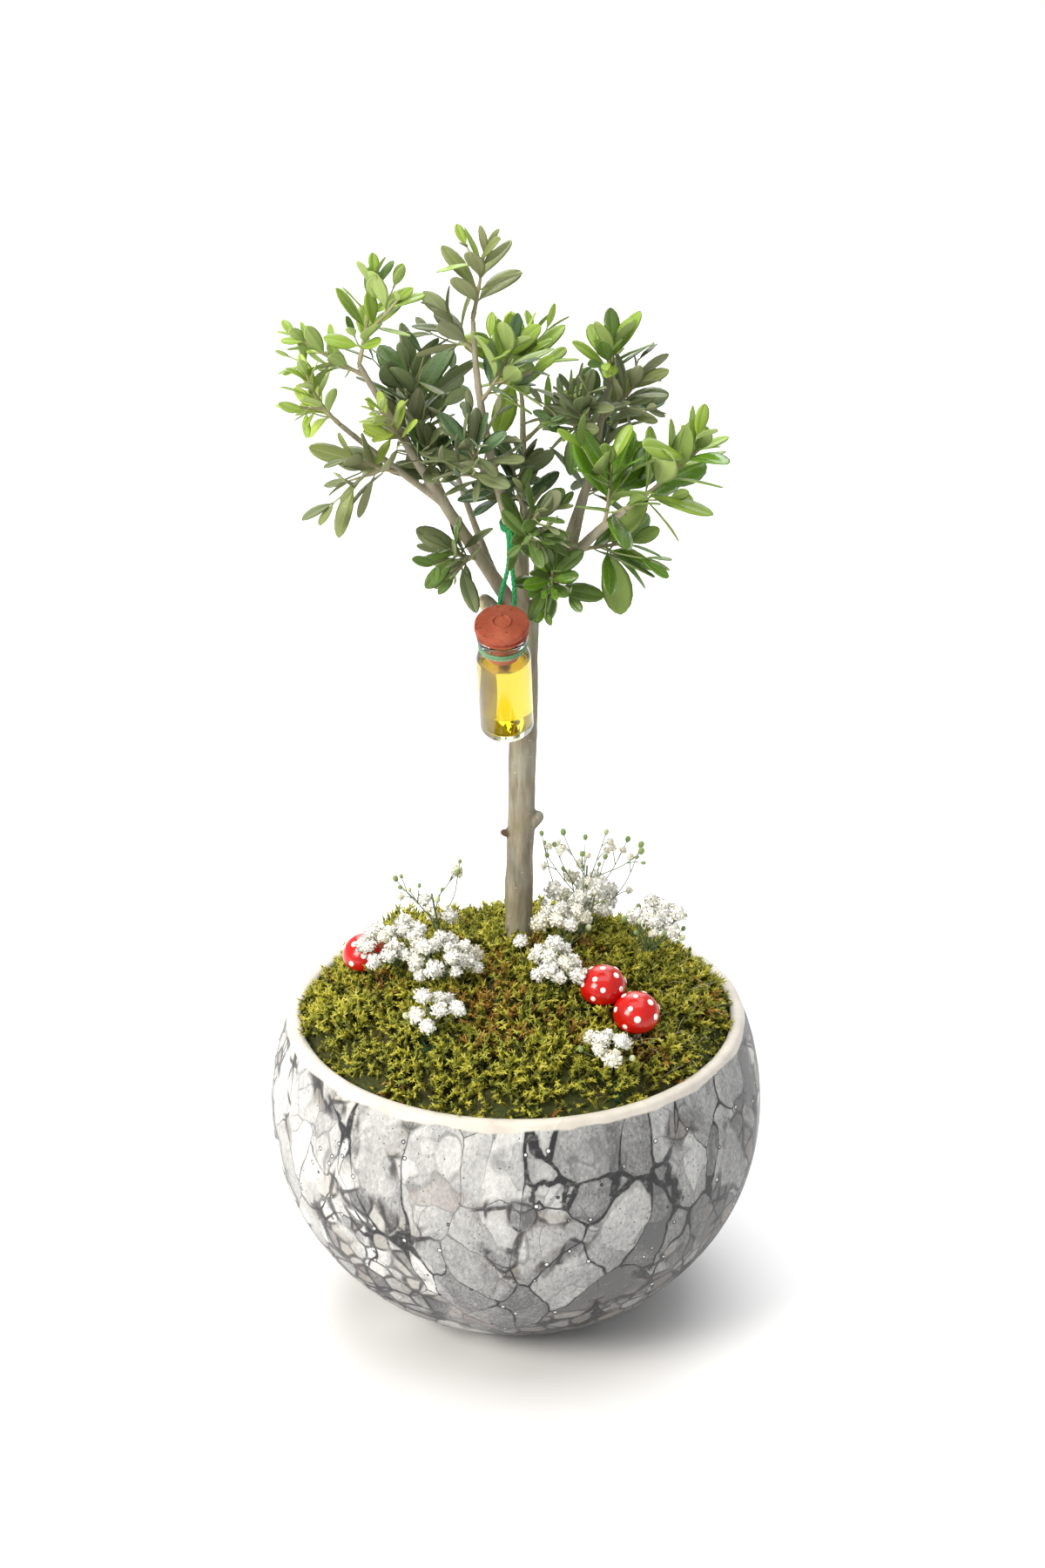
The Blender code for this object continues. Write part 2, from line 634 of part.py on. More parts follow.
def place_leaf(twig, share, angle, spread, roll, length, spray):
    """Adds a leaf to the spray where one fits, and leaves it out otherwise."""
    foot, direction = along(twig, share)
    for turn, opening in LEAF_TRIES:
        leaf, normal = leaf_frame(direction, angle + turn, spread + opening, roll)
        root = foot - leaf * LEAF_SUNK
        if distance_to_path(root + leaf * length, spray.stem) > SPACE * spray.leaf:
            continue
        trial = leaf_mesh(root + leaf * LEAF_SUNK, leaf, normal, length, LEAF_CLEAR)
        outer = leaf_mesh(root + leaf * (LEAF_BASE * length), leaf, normal, (1 - LEAF_BASE) * length)
        clear = not touches(mesh_tree(trial), spray.taken)
        clear = clear and not touches(mesh_tree(outer), spray.own)
        bpy.data.meshes.remove(trial)
        bpy.data.meshes.remove(outer)
        if clear:
            mesh = leaf_mesh(root, leaf, normal, length)
            spray.pieces.objects.link(bpy.data.objects.new("leaf", mesh))
            spray.own.append(mesh_tree(mesh))
            spray.leaves.append((root, leaf, normal, length))
            return


class Spray(NamedTuple):
    """What a mass grows by: its stem, what it has and what it must keep clear of."""

    stem: list
    leaf: float
    pieces: object
    own: list
    taken: list
    leaves: list


def leaf_length(longest, share):
    """Leaves are longest below the middle of a twig and half as long at its tip."""
    return longest * (0.82 + 0.75 * share - 1.05 * share * share)


def grow_leaves(twig, pairs, longest, phase, rng, spray):
    """Opposite pairs of leaves up a twig, each pair a quarter turn on from the last."""
    for i in range(pairs):
        share = FIRST_PAIR + (1 - FIRST_PAIR) * i / (pairs - 1)
        spread = OPEN_SPREAD - (OPEN_SPREAD - TIP_SPREAD) * share + rng.uniform(-SPREAD_JITTER, SPREAD_JITTER)
        for side in (0, 180):
            angle = phase + 90 * i + side + rng.uniform(-TURN_JITTER, TURN_JITTER)
            roll = rng.uniform(-ROLL_JITTER, ROLL_JITTER)
            length = leaf_length(longest, share) * rng.uniform(0.86, 1.06)
            place_leaf(twig, min(share, LAST_PAIR), angle, spread, roll, length, spray)


def grow_twigs(mass, rng, spray):
    """Side twigs with smaller leaves."""
    for i in range(mass.twigs):
        share = FIRST_TWIG + TWIG_STEP * i
        foot, direction = along(spray.stem, share)
        angle = mass.phase + 45 + 180 * i + rng.uniform(-TURN_JITTER, TURN_JITTER)
        out = leaf_frame(direction, angle, rng.uniform(38, 52), 0.0)[0]
        length = mass.length * TWIG_SHARE * rng.uniform(0.85, 1.1)
        path = [foot, foot + out * (length / 2), foot + (out + direction * TWIG_CURVE) * length]
        twig = tube("twig", path, (TWIG_RADIUS, TWIG_RADIUS, TIP_RADIUS), STEM_SIDES, spray.pieces)
        if touches(mesh_tree(twig.data), spray.taken):
            bpy.data.objects.remove(twig, do_unlink=True)
            continue
        spray.own.append(mesh_tree(twig.data))
        grow_leaves(path, TWIG_PAIRS, mass.leaf * TWIG_LEAF, mass.phase + TWIG_PHASE, rng, spray)


def stem_path(mass, paths):
    foot = along(paths[mass.limb], mass.share)[0]
    return arc_path(foot, mass.azimuth, mass.lean, mass.bend, mass.length, STEM_PIECES)


def grow_masses(paths, obstacles):
    """Every mass as a collection of loose pieces, its stem first, and the leaves that it placed."""
    stems = {}
    sprays = {}
    for name, mass in MASSES.items():
        path = stem_path(mass, paths)
        pieces = new_collection(name + "_pieces")
        radii = tapered(len(path), STEM_RADIUS, TIP_RADIUS)
        stems[name] = tube(name, path, radii, STEM_SIDES, pieces)
        sprays[name] = Spray(path, mass.leaf, pieces, [], [], [])
    trees = {name: [mesh_tree(stem.data)] for name, stem in stems.items()}
    for name, mass in MASSES.items():
        spray = sprays[name]
        spray.taken.extend(obstacles)
        for other, known in trees.items():
            if other != name:
                spray.taken.extend(known)
        rng = random.Random(mass.seed)
        grow_leaves(spray.stem, mass.pairs, mass.leaf, mass.phase, rng, spray)
        grow_twigs(mass, rng, spray)
        trees[name].extend(spray.own)
    return stems, sprays


def make_masses(parts, paths, obstacles):
    stems, sprays = grow_masses(paths, obstacles)
    for name, stem in stems.items():
        mass = MASSES[name]
        pieces = sprays[name].pieces
        pieces.objects.unlink(stem)
        parts.objects.link(stem)
        seat = new_collection("seat")
        limb_solid(mass.limb, paths, seat, GAP)
        stem = boolean(stem, "DIFFERENCE", seat)
        finish(boolean(stem, "UNION", pieces), mass.tint)


# ================================================================ the vial
def vial_matrix():
    return placed(VIAL_FOOT, heading(VIAL_AZIMUTH, VIAL_LEAN))


def heel_points(radius, z, roundness):
    """The rounded lower edge of a turned piece, from its side to its underside."""
    points = []
    for i in range(4):
        angle = math.pi / 2 * i / 3
        points.append((radius - roundness * (1 - math.cos(angle)), z + roundness * (1 - math.sin(angle))))
    return points


def glass_profile():
    """The vial's section: its bore and inside from the bottom up, then its outside down."""
    side = VIAL_RADIUS - VIAL_WALL
    inner = [(0.0, VIAL_BASE), *reversed(heel_points(side, VIAL_BASE, HEEL / 2)),
             (side, VIAL_SHOULDER_Z - VIAL_WALL), (BORE_RADIUS, VIAL_NECK_Z - VIAL_WALL),
             (BORE_RADIUS, VIAL_TOP_Z)]
    outer = [(VIAL_LIP_RADIUS - EDGE, VIAL_TOP_Z), (VIAL_LIP_RADIUS, VIAL_TOP_Z - EDGE),
             (VIAL_LIP_RADIUS, VIAL_LIP_Z + EDGE), (VIAL_NECK_RADIUS, VIAL_LIP_Z),
             (VIAL_NECK_RADIUS, VIAL_NECK_Z), (VIAL_RADIUS - EDGE, VIAL_SHOULDER_Z + EDGE),
             (VIAL_RADIUS, VIAL_SHOULDER_Z), *heel_points(VIAL_RADIUS, 0.0, HEEL), (0.0, 0.0)]
    return inner + outer


def oil_profile():
    side = VIAL_RADIUS - VIAL_WALL - GAP
    foot = VIAL_BASE + GAP
    return [(0.0, OIL_TOP_Z), (side - EDGE, OIL_TOP_Z), (side, OIL_TOP_Z - EDGE),
            *heel_points(side, foot, HEEL / 2), (0.0, foot)]


def stopper_profile():
    flange = VIAL_TOP_Z + GAP
    top = flange + STOPPER_HEIGHT
    plug = BORE_RADIUS - GAP
    return [(0.0, top), (STOPPER_RADIUS - EDGE, top), (STOPPER_RADIUS, top - EDGE),
            (STOPPER_RADIUS, flange + EDGE), (STOPPER_RADIUS - EDGE, flange),
            (plug, flange), (plug - EDGE / 2, PLUG_FOOT_Z + EDGE),
            (plug - EDGE, PLUG_FOOT_Z), (0.0, PLUG_FOOT_Z)]


def make_vial(parts):
    profiles = {"glass": glass_profile(), "oil": oil_profile(), "stopper": stopper_profile()}
    for name, profile in profiles.items():
        obj = turned(f"vial_{name}", profile, VIAL_STEPS, parts)
        obj.data.transform(vial_matrix())
        finish(obj, name)


def ring_object(name, place, collection, major, steps):
    """A closed ring of thread about a place's Z axis."""
    curve = bpy.data.curves.new(name, "CURVE")
    curve.dimensions = "3D"
    curve.bevel_depth = THREAD_RADIUS
    curve.bevel_resolution = 0
    spline = curve.splines.new("POLY")
    spline.points.add(steps - 1)
    for i, point in enumerate(spline.points):
        angle = 2 * math.pi * i / steps
        point.co = (major * math.cos(angle), major * math.sin(angle), 0.0, 1.0)
    spline.use_cyclic_u = True
    obj = bpy.data.objects.new(name, curve)
    obj.matrix_world = place
    collection.objects.link(obj)
    return baked(obj, WELD)


def make_thread(parts, paths):
    """Two turns round the vial's neck, and two strands that hang it from a ring round the bough."""
    major = VIAL_NECK_RADIUS + GAP + THREAD_RADIUS
    low = VIAL_NECK_Z + NECK_TURN_LIFT
    bough = LIMBS["bough_centre_low"]
    place, direction = along(paths["bough_centre_low"], HANGER_SHARE)
    reach = bough.foot + (bough.tip - bough.foot) * HANGER_SHARE + GAP + THREAD_RADIUS
    thread = ring_object("thread", placed(place, direction), parts, reach, THREAD_STEPS)
    others = new_collection("others")
    for lift in (0.0, TURN_SPACING):
        matrix = vial_matrix() @ Matrix.Translation((0.0, 0.0, low + lift))
        ring_object("turn", matrix, others, major, THREAD_STEPS)
    front = (FRONT - direction * FRONT.dot(direction)).normalized()
    knot = place + front * (reach + KNOT_RADIUS - THREAD_RADIUS)
    ball(knot, KNOT_RADIUS, others, KNOT_SIDES)
    behind = -heading(VIAL_AZIMUTH, VIAL_LEAN + 90.0) * (major + THREAD_RADIUS)
    for side in (-1, 1):
        foot = vial_matrix() @ Vector((0.0, 0.0, low)) + behind
        foot.x += side * HANGER_SPREAD
        path = [foot - UP * THREAD_RADIUS, foot, foot.lerp(knot, 0.5), knot]
        tube("strand", path, [THREAD_RADIUS] * len(path), THREAD_SIDES, others)
    finish(boolean(thread, "UNION", others), "thread")


# ================================================================ toadstools and flowers
def moss_point(x, y, lift=0.0):
    return Vector((x, y, moss_height(math.hypot(x, y)) + lift))


def cap_matrix(name):
    return placed(moss_point(*TOADSTOOLS[name], CAP_LIFT), heading(*CAP_LEANS[name]))


def make_toadstools(parts, cutters):
    for name in TOADSTOOLS:
        profile = [(0.0, CAP_HEIGHT)]
        for i in range(1, CAP_RINGS + 1):
            angle = math.pi / 2 * i / CAP_RINGS
            profile.append((CAP_RADIUS * math.sin(angle), CAP_HEIGHT * math.cos(angle)))
        profile += [(CAP_RADIUS * CAP_INSET, -CAP_LIP), (0.0, -CAP_LIP / 2)]
        cap = turned(f"toadstool_{name}_cap", profile, CAP_STEPS, parts)
        cap.data.transform(cap_matrix(name))
        finish(cap, "cap")
        top = cap_matrix(name) @ Vector((0.0, 0.0, -CAP_LIP - 2 * GAP))
        foot = moss_point(*TOADSTOOLS[name], -STALK_DEPTH)
        stalk = tube(f"toadstool_{name}_stalk", [foot, top], [STALK_RADIUS] * 2, STALK_SIDES, parts)
        finish(stalk, "stalk")
        tube("hole", longer([foot, top], GAP), [STALK_RADIUS + GAP] * 2, STALK_SIDES, cutters)


def ball(place, radius, collection, sides):
    """A small faceted ball: a flower head, a bud or a knot."""
    bm = bmesh.new()
    bmesh.ops.create_uvsphere(bm, u_segments=sides, v_segments=2, radius=radius)
    mesh = bpy.data.meshes.new("ball")
    bm.to_mesh(mesh)
    bm.free()
    mesh.transform(Matrix.Translation(place))
    obj = bpy.data.objects.new("ball", mesh)
    collection.objects.link(obj)
    return obj


def make_sprigs(parts, cutters, taken):
    """Flower sprays. A stalk or head that would touch what stands already is left out."""
    for name, sprig in SPRIGS.items():
        rng = random.Random(sprig.seed)
        axis = heading(sprig.azimuth, sprig.lean)
        foot = moss_point(sprig.x, sprig.y) - axis * SPRIG_DEPTH
        fork = moss_point(sprig.x, sprig.y) + axis * (sprig.height * FORK_SHARE)
        stalk = tube(name, [foot, fork], (SPRIG_FOOT, STALK_FOOT), 4, parts)
        tube("hole", longer([foot, fork], GAP), [SPRIG_FOOT + GAP] * 2, 4, cutters)
        pieces = new_collection("pieces")
        own = []
        for i in range(sprig.heads + sprig.buds):
            share = math.sqrt((i + 0.5) / (sprig.heads + sprig.buds))
            radial = across(axis, GOLDEN_ANGLE * i + rng.uniform(-12, 12))
            lean = math.radians(sprig.spread * share)
            reach = sprig.height * STALK_SHARE * rng.uniform(0.85, 1.15)
            tip = fork + (axis * math.cos(lean) + radial * math.sin(lean)) * reach
            bloom = i < sprig.heads
            radius = (HEAD_RADIUS if bloom else BUD_RADIUS) * rng.uniform(0.85, 1.12)
            ground = moss_height(math.hypot(tip.x, tip.y)) + radius + MOSS_BUMP
            tip.z = max(tip.z, ground)
            start = fork - axis * (STALK_STEP * (i + 0.5))
            thin = tube("stalk", [start, tip], (STALK_FOOT, STALK_TIP), 3, pieces)
            head = ball(tip, radius, pieces, HEAD_SIDES if bloom else BUD_SIDES)
            grown = ball(tip, radius + 2 * GAP, pieces, HEAD_SIDES)
            trees = [mesh_tree(thin.data), mesh_tree(grown.data)]
            bpy.data.objects.remove(grown, do_unlink=True)
            if any(touches(tree, taken) for tree in trees) or touches(trees[1], own):
                bpy.data.objects.remove(thin, do_unlink=True)
                bpy.data.objects.remove(head, do_unlink=True)
                continue
            own.append(trees[1])
        made = boolean(stalk, "UNION", pieces)
        taken.append(mesh_tree(made.data))
        finish(made, "blossom")


# ================================================================ the whole
def main():
    clear_scene()
    parts = new_collection("olive_bonsai")
    paths = limb_paths()
    make_pot(parts)
    make_soil(parts)
    make_limbs(parts, paths)
    make_vial(parts)
    make_thread(parts, paths)
    obstacles = [mesh_tree(obj.data) for obj in parts.objects if obj.name not in ("pot", "soil")]
    make_masses(parts, paths, obstacles)
    cutters = new_collection("cutters")
    foot = paths["trunk"][:TRUNK_HOLE_POINTS]
    hole = tube("hole", longer(foot, GAP), [r + GAP for r in trunk_radii(foot)], TRUNK_SIDES, cutters)
    make_toadstools(parts, cutters)
    taken = [mesh_tree(hole.data)]
    taken += [mesh_tree(obj.data) for obj in parts.objects if obj.name.startswith("toadstool")]
    make_sprigs(parts, cutters, taken)
    make_moss(parts, cutters)


if __name__ == "__main__":
    main()
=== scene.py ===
"""Looks of the olive bonsai: marbled bowl, moss, bark, leaves, oil vial, toadstools and white flowers.

Metres, +Z up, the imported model's own frame. The bowl's axis is the Z axis and the front faces -Y.
The foliage grows by the same seeded rule as the solids, then goes on to finer twigs inside their reach.
"""

import json
import math
import random
from typing import NamedTuple

import bpy
import numpy as np
from mathutils import Matrix, Quaternion, Vector, geometry, noise
from mathutils.bvhtree import BVHTree

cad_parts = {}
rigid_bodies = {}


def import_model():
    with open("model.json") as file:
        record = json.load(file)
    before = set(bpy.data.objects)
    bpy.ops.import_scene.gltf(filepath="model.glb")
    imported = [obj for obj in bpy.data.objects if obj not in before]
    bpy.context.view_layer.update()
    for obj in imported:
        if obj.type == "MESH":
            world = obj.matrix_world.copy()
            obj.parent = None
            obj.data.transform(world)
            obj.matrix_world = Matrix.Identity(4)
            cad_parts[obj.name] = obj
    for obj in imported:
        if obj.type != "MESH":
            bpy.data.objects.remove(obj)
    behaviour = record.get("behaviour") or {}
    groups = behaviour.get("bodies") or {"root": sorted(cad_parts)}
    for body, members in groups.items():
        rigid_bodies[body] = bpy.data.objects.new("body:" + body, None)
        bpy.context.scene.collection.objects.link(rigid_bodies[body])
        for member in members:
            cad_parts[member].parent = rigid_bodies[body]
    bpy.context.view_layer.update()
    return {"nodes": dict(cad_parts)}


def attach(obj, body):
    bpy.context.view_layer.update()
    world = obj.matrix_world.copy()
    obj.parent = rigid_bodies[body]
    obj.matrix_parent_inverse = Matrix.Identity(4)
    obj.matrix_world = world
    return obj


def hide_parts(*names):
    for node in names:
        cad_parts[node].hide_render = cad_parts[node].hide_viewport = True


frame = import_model()
NODES = frame["nodes"]

GAP = 0.0003
UP = Vector((0.0, 0.0, 1.0))
FRONT = Vector((0.0, -1.0, 0.0))

# ---------------------------------------------------------------- camera and light
CAMERA_PLACE = (0.00265, -1.09574, 0.71523)
CAMERA_PITCH = 24.06  # degrees down
CAMERA_LENS = 70.45

# ---------------------------------------------------------------- the bowl and what fills it
POT_RADIUS = 0.100
POT_HEIGHT = 0.1267
POT_WIDEST_Z = 0.0844
POT_FOOT_RADIUS = 0.042
POT_RIM_RADIUS = 0.0912
WALL = 0.0050
FLOOR_Z = 0.009
LIP_ROUND = 0.0017
BOWL_STEPS = 168
SOIL_EDGE_Z = 0.1130
MOSS_EDGE_Z = 0.1212
MOSS_TOP_Z = 0.1505
MOSS_DOME = 0.8
SOIL_SEAT_Z = 0.1350

# ---------------------------------------------------------------- the tree's limbs


class Limb(NamedTuple):
    """A tapering limb. Azimuth 0 is +X and 90 is +Y; lean is measured from upright. Degrees."""

    parent: str
    share: float
    azimuth: float
    lean: float
    bend: float
    length: float
    foot: float
    tip: float


LIMB_PIECE = 0.015
TRUNK_FOOT = Vector((0.0004, 0.0140, SOIL_SEAT_Z + GAP))
TRUNK = Limb("", 0.0, 329.0, 1.6, -0.4, 0.1560, 0.0055, 0.0053)
ROOT_FLARE = 0.0022
FLARE_HEIGHT = 0.020

LIMBS = {
    "bough_left": Limb("trunk", 0.985, 198.0, 33.0, -5.0, 0.126, 0.0031, 0.0011),
    "bough_centre_low": Limb("trunk", 0.985, 250.0, 14.0, 14.0, 0.052, 0.0028, 0.0023),
    "bough_right_low": Limb("trunk", 0.975, 332.0, 26.0, 24.0, 0.070, 0.0031, 0.0014),
    "bough_back": Limb("trunk", 0.970, 92.0, 19.0, -4.0, 0.085, 0.0024, 0.0011),
    "bough_centre_high": Limb("bough_centre_low", 0.96, 153.0, 20.0, -18.0, 0.078, 0.0021, 0.0010),
    "bough_left_low": Limb("bough_left", 0.48, 201.0, 50.0, -3.0, 0.054, 0.0015, 0.0010),
    "bough_left_inner": Limb("bough_left", 0.33, 162.0, 36.0, -24.0, 0.046, 0.0015, 0.0010),
    "bough_right_high": Limb("bough_right_low", 0.50, 40.0, 18.0, -3.0, 0.070, 0.0020, 0.0011),
    "bough_back_left": Limb("bough_left", 0.16, 122.0, 44.0, -10.0, 0.062, 0.0016, 0.0010),
    "bough_back_right": Limb("bough_right_low", 0.26, 60.0, 46.0, -10.0, 0.058, 0.0016, 0.0010),
}


class Stub(NamedTuple):
    """A pruned twig's stump on the trunk."""

    height: float
    azimuth: float
    lean: float
    length: float
    foot: float
    tip: float


STUBS = (
    Stub(0.0640, 350.0, 44.0, 0.0100, 0.0034, 0.0027),
    Stub(0.0620, 200.0, 68.0, 0.0078, 0.0022, 0.0014),
    Stub(0.1450, 205.0, 40.0, 0.0260, 0.0040, 0.0032),
)


class Mass(NamedTuple):
    """A leafy spray. Its stem leaves a limb at a share of the limb's length, as a limb does."""

    limb: str
    share: float
    azimuth: float
    lean: float
    bend: float
    length: float
    pairs: int
    leaf: float
    twigs: int
    phase: float
    tint: str
    seed: int
    fine: int  # finer twigs that only the looks have


MASSES = {
    "foliage_left_top": Mass("bough_left", 1.0, 350, 13, -4, 0.034, 6, 0.0155, 1, 20, "young", 11, 2),
    "foliage_left_far": Mass("bough_left", 0.96, 180, 64, -10, 0.030, 6, 0.0125, 1, 40, "young", 12, 2),
    "foliage_left_tip": Mass("bough_left_low", 1.0, 199, 46, -30, 0.024, 6, 0.0125, 2, 60, "young", 13, 2),
    "foliage_left_under": Mass("bough_left_low", 0.42, 212, 74, -16, 0.022, 4, 0.023, 1, 10, "grown", 15, 2),
    "foliage_left_shoot": Mass("bough_left", 0.70, 228, 48, -20, 0.022, 5, 0.0125, 1, 30, "young", 16, 1),
    "foliage_left_back": Mass("bough_left", 0.62, 108, 48, -14, 0.030, 5, 0.0190, 1, 15, "grown", 17, 6),
    "foliage_inner": Mass("bough_left_inner", 1.0, 168, 16, -8, 0.024, 5, 0.0260, 0, 75, "old", 18, 4),
    "foliage_inner_front": Mass("bough_left_inner", 0.50, 250, 40, -16, 0.024, 5, 0.0200, 1, 25, "old", 19, 7),
    "foliage_crown_top": Mass("bough_centre_high", 1.0, 0, 12, -4, 0.025, 5, 0.0215, 0, 55, "grown", 20, 1),
    "foliage_crown_left": Mass("bough_centre_high", 0.84, 180, 40, -12, 0.018, 4, 0.0200, 0, 5, "grown", 21, 2),
    "foliage_crown_right": Mass("bough_centre_high", 0.60, 335, 38, -16, 0.026, 5, 0.022, 1, 50, "old", 22, 3),
    "foliage_centre_front": Mass("bough_centre_high", 0.18, 215, 46, -18, 0.026, 5, 0.021, 2, 70, "old", 23, 8),
    "foliage_centre_base": Mass("bough_centre_low", 0.78, 310, 50, -10, 0.022, 5, 0.0200, 1, 35, "grown", 24, 7),
    "foliage_back_top": Mass("bough_back", 1.0, 130, 10, -6, 0.024, 6, 0.0220, 2, 15, "young", 25, 5),
    "foliage_back_mid": Mass("bough_back", 0.52, 250, 34, -16, 0.028, 5, 0.0200, 1, 30, "old", 26, 8),
    "foliage_back_twig": Mass("bough_back", 0.84, 350, 46, -12, 0.032, 5, 0.0135, 0, 0, "young", 27, 2),
    "foliage_back_left": Mass("bough_back_left", 1.0, 128, 32, -12, 0.028, 6, 0.0200, 1, 45, "grown", 28, 7),
    "foliage_back_right": Mass("bough_back_right", 1.0, 56, 32, -10, 0.028, 6, 0.0200, 1, 20, "grown", 29, 7),
    "foliage_right_top": Mass("bough_right_high", 1.0, 350, 8, -4, 0.015, 5, 0.0175, 2, 30, "young", 30, 2),
    "foliage_right_side": Mass("bough_right_high", 0.80, 345, 50, -16, 0.02, 5, 0.0200, 0, 60, "grown", 31, 2),
    "foliage_right_mid": Mass("bough_right_high", 0.66, 215, 34, -12, 0.024, 5, 0.019, 1, 10, "old", 32, 6),
    "foliage_right_back": Mass("bough_right_high", 0.30, 60, 46, -14, 0.028, 5, 0.0200, 1, 55, "grown", 33, 6),
    "foliage_right_front": Mass("bough_right_low", 0.82, 285, 30, -20, 0.03, 5, 0.024, 0, 40, "young", 34, 3),
    "foliage_right_tip": Mass("bough_right_low", 1.0, 352, 52, -8, 0.036, 6, 0.0220, 0, 60, "young", 35, 3),
    "foliage_right_under": Mass("bough_right_low", 0.60, 10, 82, 8, 0.020, 4, 0.0250, 0, 8, "grown", 36, 2),
    "foliage_fork": Mass("bough_right_low", 0.30, 275, 60, -20, 0.018, 4, 0.0180, 1, 20, "grown", 37, 4),
    "foliage_left_base": Mass("bough_left", 0.26, 222, 70, -14, 0.018, 4, 0.0190, 1, 65, "grown", 38, 4),
}

STEM_RADIUS = 0.0009
TWIG_RADIUS = 0.0007
TIP_RADIUS = 0.0004
STEM_PIECES = 4
FIRST_PAIR = 0.26
LAST_PAIR = 0.985
OPEN_SPREAD = 54.0
TIP_SPREAD = 26.0
FACING_UP = 0.4
LEAF_WIDTH = 0.48
LEAF_THICKNESS = 0.030
LEAF_DROOP = 0.10
LEAF_SUNK = 0.0003
LEAF_CLEAR = 0.0004
LEAF_BASE = 0.22
LEAF_TRIES = ((0, 0), (22, 6), (-22, 6), (44, -8), (-44, -8))
SPACE = 1.30
TWIG_SHARE = 0.55
TWIG_PAIRS = 2
TWIG_LEAF = 0.8
TWIG_PHASE = 70.0
FIRST_TWIG = 0.36
TWIG_STEP = 0.26
TWIG_CURVE = 0.10
TURN_JITTER = 16.0
SPREAD_JITTER = 9.0
ROLL_JITTER = 26.0

FINE_LENGTH = (0.40, 0.70)  # of a finer twig, on its mass's longest leaf
FINE_PAIRS = 2
FINE_LEAF = (0.70, 0.98)
FINE_RADIUS = 0.00045
FINE_FIRST = 0.15  # shares of the stem between which they leave it
FINE_LAST = 0.80
FULLER = {"young": (1.28, 1.12), "grown": (1.14, 1.06), "old": (1.12, 1.05)}  # full size on the solid's
BLADE_WIDTH = 0.385  # a leaf's real width on its length
BLADE_ROWS = 11
BLADE_LINES = (-1.0, -0.66, -0.30, -0.055, 0.055, 0.30, 0.66, 1.0)  # across a leaf, in half widths
PETIOLE_SHARE = 0.09
BLADE_THICKNESS = 0.00034

# ---------------------------------------------------------------- the vial, its stopper and thread
VIAL_FOOT = Vector((-0.0034, -0.0034, 0.2526))
VIAL_AZIMUTH = 265.0
VIAL_LEAN = 22.0
VIAL_STEPS = 96
VIAL_RADIUS = 0.0104
VIAL_SHOULDER_Z = 0.0372
VIAL_NECK_Z = 0.0415
VIAL_NECK_RADIUS = 0.0080
VIAL_LIP_Z = 0.0456
VIAL_LIP_RADIUS = 0.0097
VIAL_TOP_Z = 0.0489
VIAL_WALL = 0.0010
VIAL_BASE = 0.0028
BORE_RADIUS = 0.0062
OIL_TOP_Z = 0.0361
STOPPER_RADIUS = 0.0104
STOPPER_HEIGHT = 0.0052
PLUG_FOOT_Z = 0.0370
THREAD_RADIUS = 0.00055
NECK_TURN_LIFT = 0.0012
HANGER_SHARE = 0.94
HANGER_SPREAD = 0.0026
KNOT_RADIUS = 0.0014

# ---------------------------------------------------------------- toadstools and flowers
TOADSTOOLS = {"left": (-0.0610, 0.0105), "right": (0.0342, -0.0290), "front": (0.0470, -0.0400)}
CAP_RADIUS = 0.0092
CAP_HEIGHT = 0.0085
CAP_LIP = 0.0012
CAP_LEANS = {"left": (255.0, 14.0), "right": (262.0, 18.0), "front": (268.0, 24.0)}
CAP_LIFT = 0.0075
STALK_RADIUS = 0.0022
STALK_DEPTH = 0.0060


class Sprig(NamedTuple):
    """A spray of small flowers: a stalk that forks into thin ones, each with a head or a bud."""

    x: float
    y: float
    azimuth: float
    lean: float
    height: float
    spread: float
    heads: int
    buds: int
    seed: int


SPRIGS = {
    "sprig_left_back": Sprig(-0.046, -0.004, 190, 12, 0.018, 44, 5, 1, 41),
    "sprig_left_mid": Sprig(-0.028, -0.020, 120, 8, 0.018, 50, 5, 0, 42),
    "sprig_left_front": Sprig(-0.031, -0.047, 250, 12, 0.015, 52, 5, 0, 43),
    "sprig_left_buds": Sprig(-0.030, 0.016, 170, 10, 0.032, 36, 1, 3, 44),
    "sprig_centre": Sprig(0.017, -0.024, 250, 10, 0.015, 50, 4, 0, 46),
    "sprig_centre_back": Sprig(0.020, 0.000, 90, 8, 0.018, 40, 3, 0, 47),
    "sprig_front": Sprig(0.034, -0.063, 300, 8, 0.014, 48, 4, 0, 48),
    "sprig_back": Sprig(0.027, 0.022, 75, 14, 0.042, 34, 5, 2, 49),
    "sprig_right": Sprig(0.052, 0.008, 20, 14, 0.022, 44, 4, 2, 50),
}
SPRIG_DEPTH = 0.005
SPRIG_FOOT = 0.0007
STALK_TIP = 0.0004
FORK_SHARE = 0.42
STALK_SHARE = 0.75
BUD_RADIUS = 0.0012
GOLDEN_ANGLE = 137.5

MOSS_SHOOTS = 4900
MOSS_SHAPES = 12
MOSS_KINDS = ("bright", "deep", "rust")


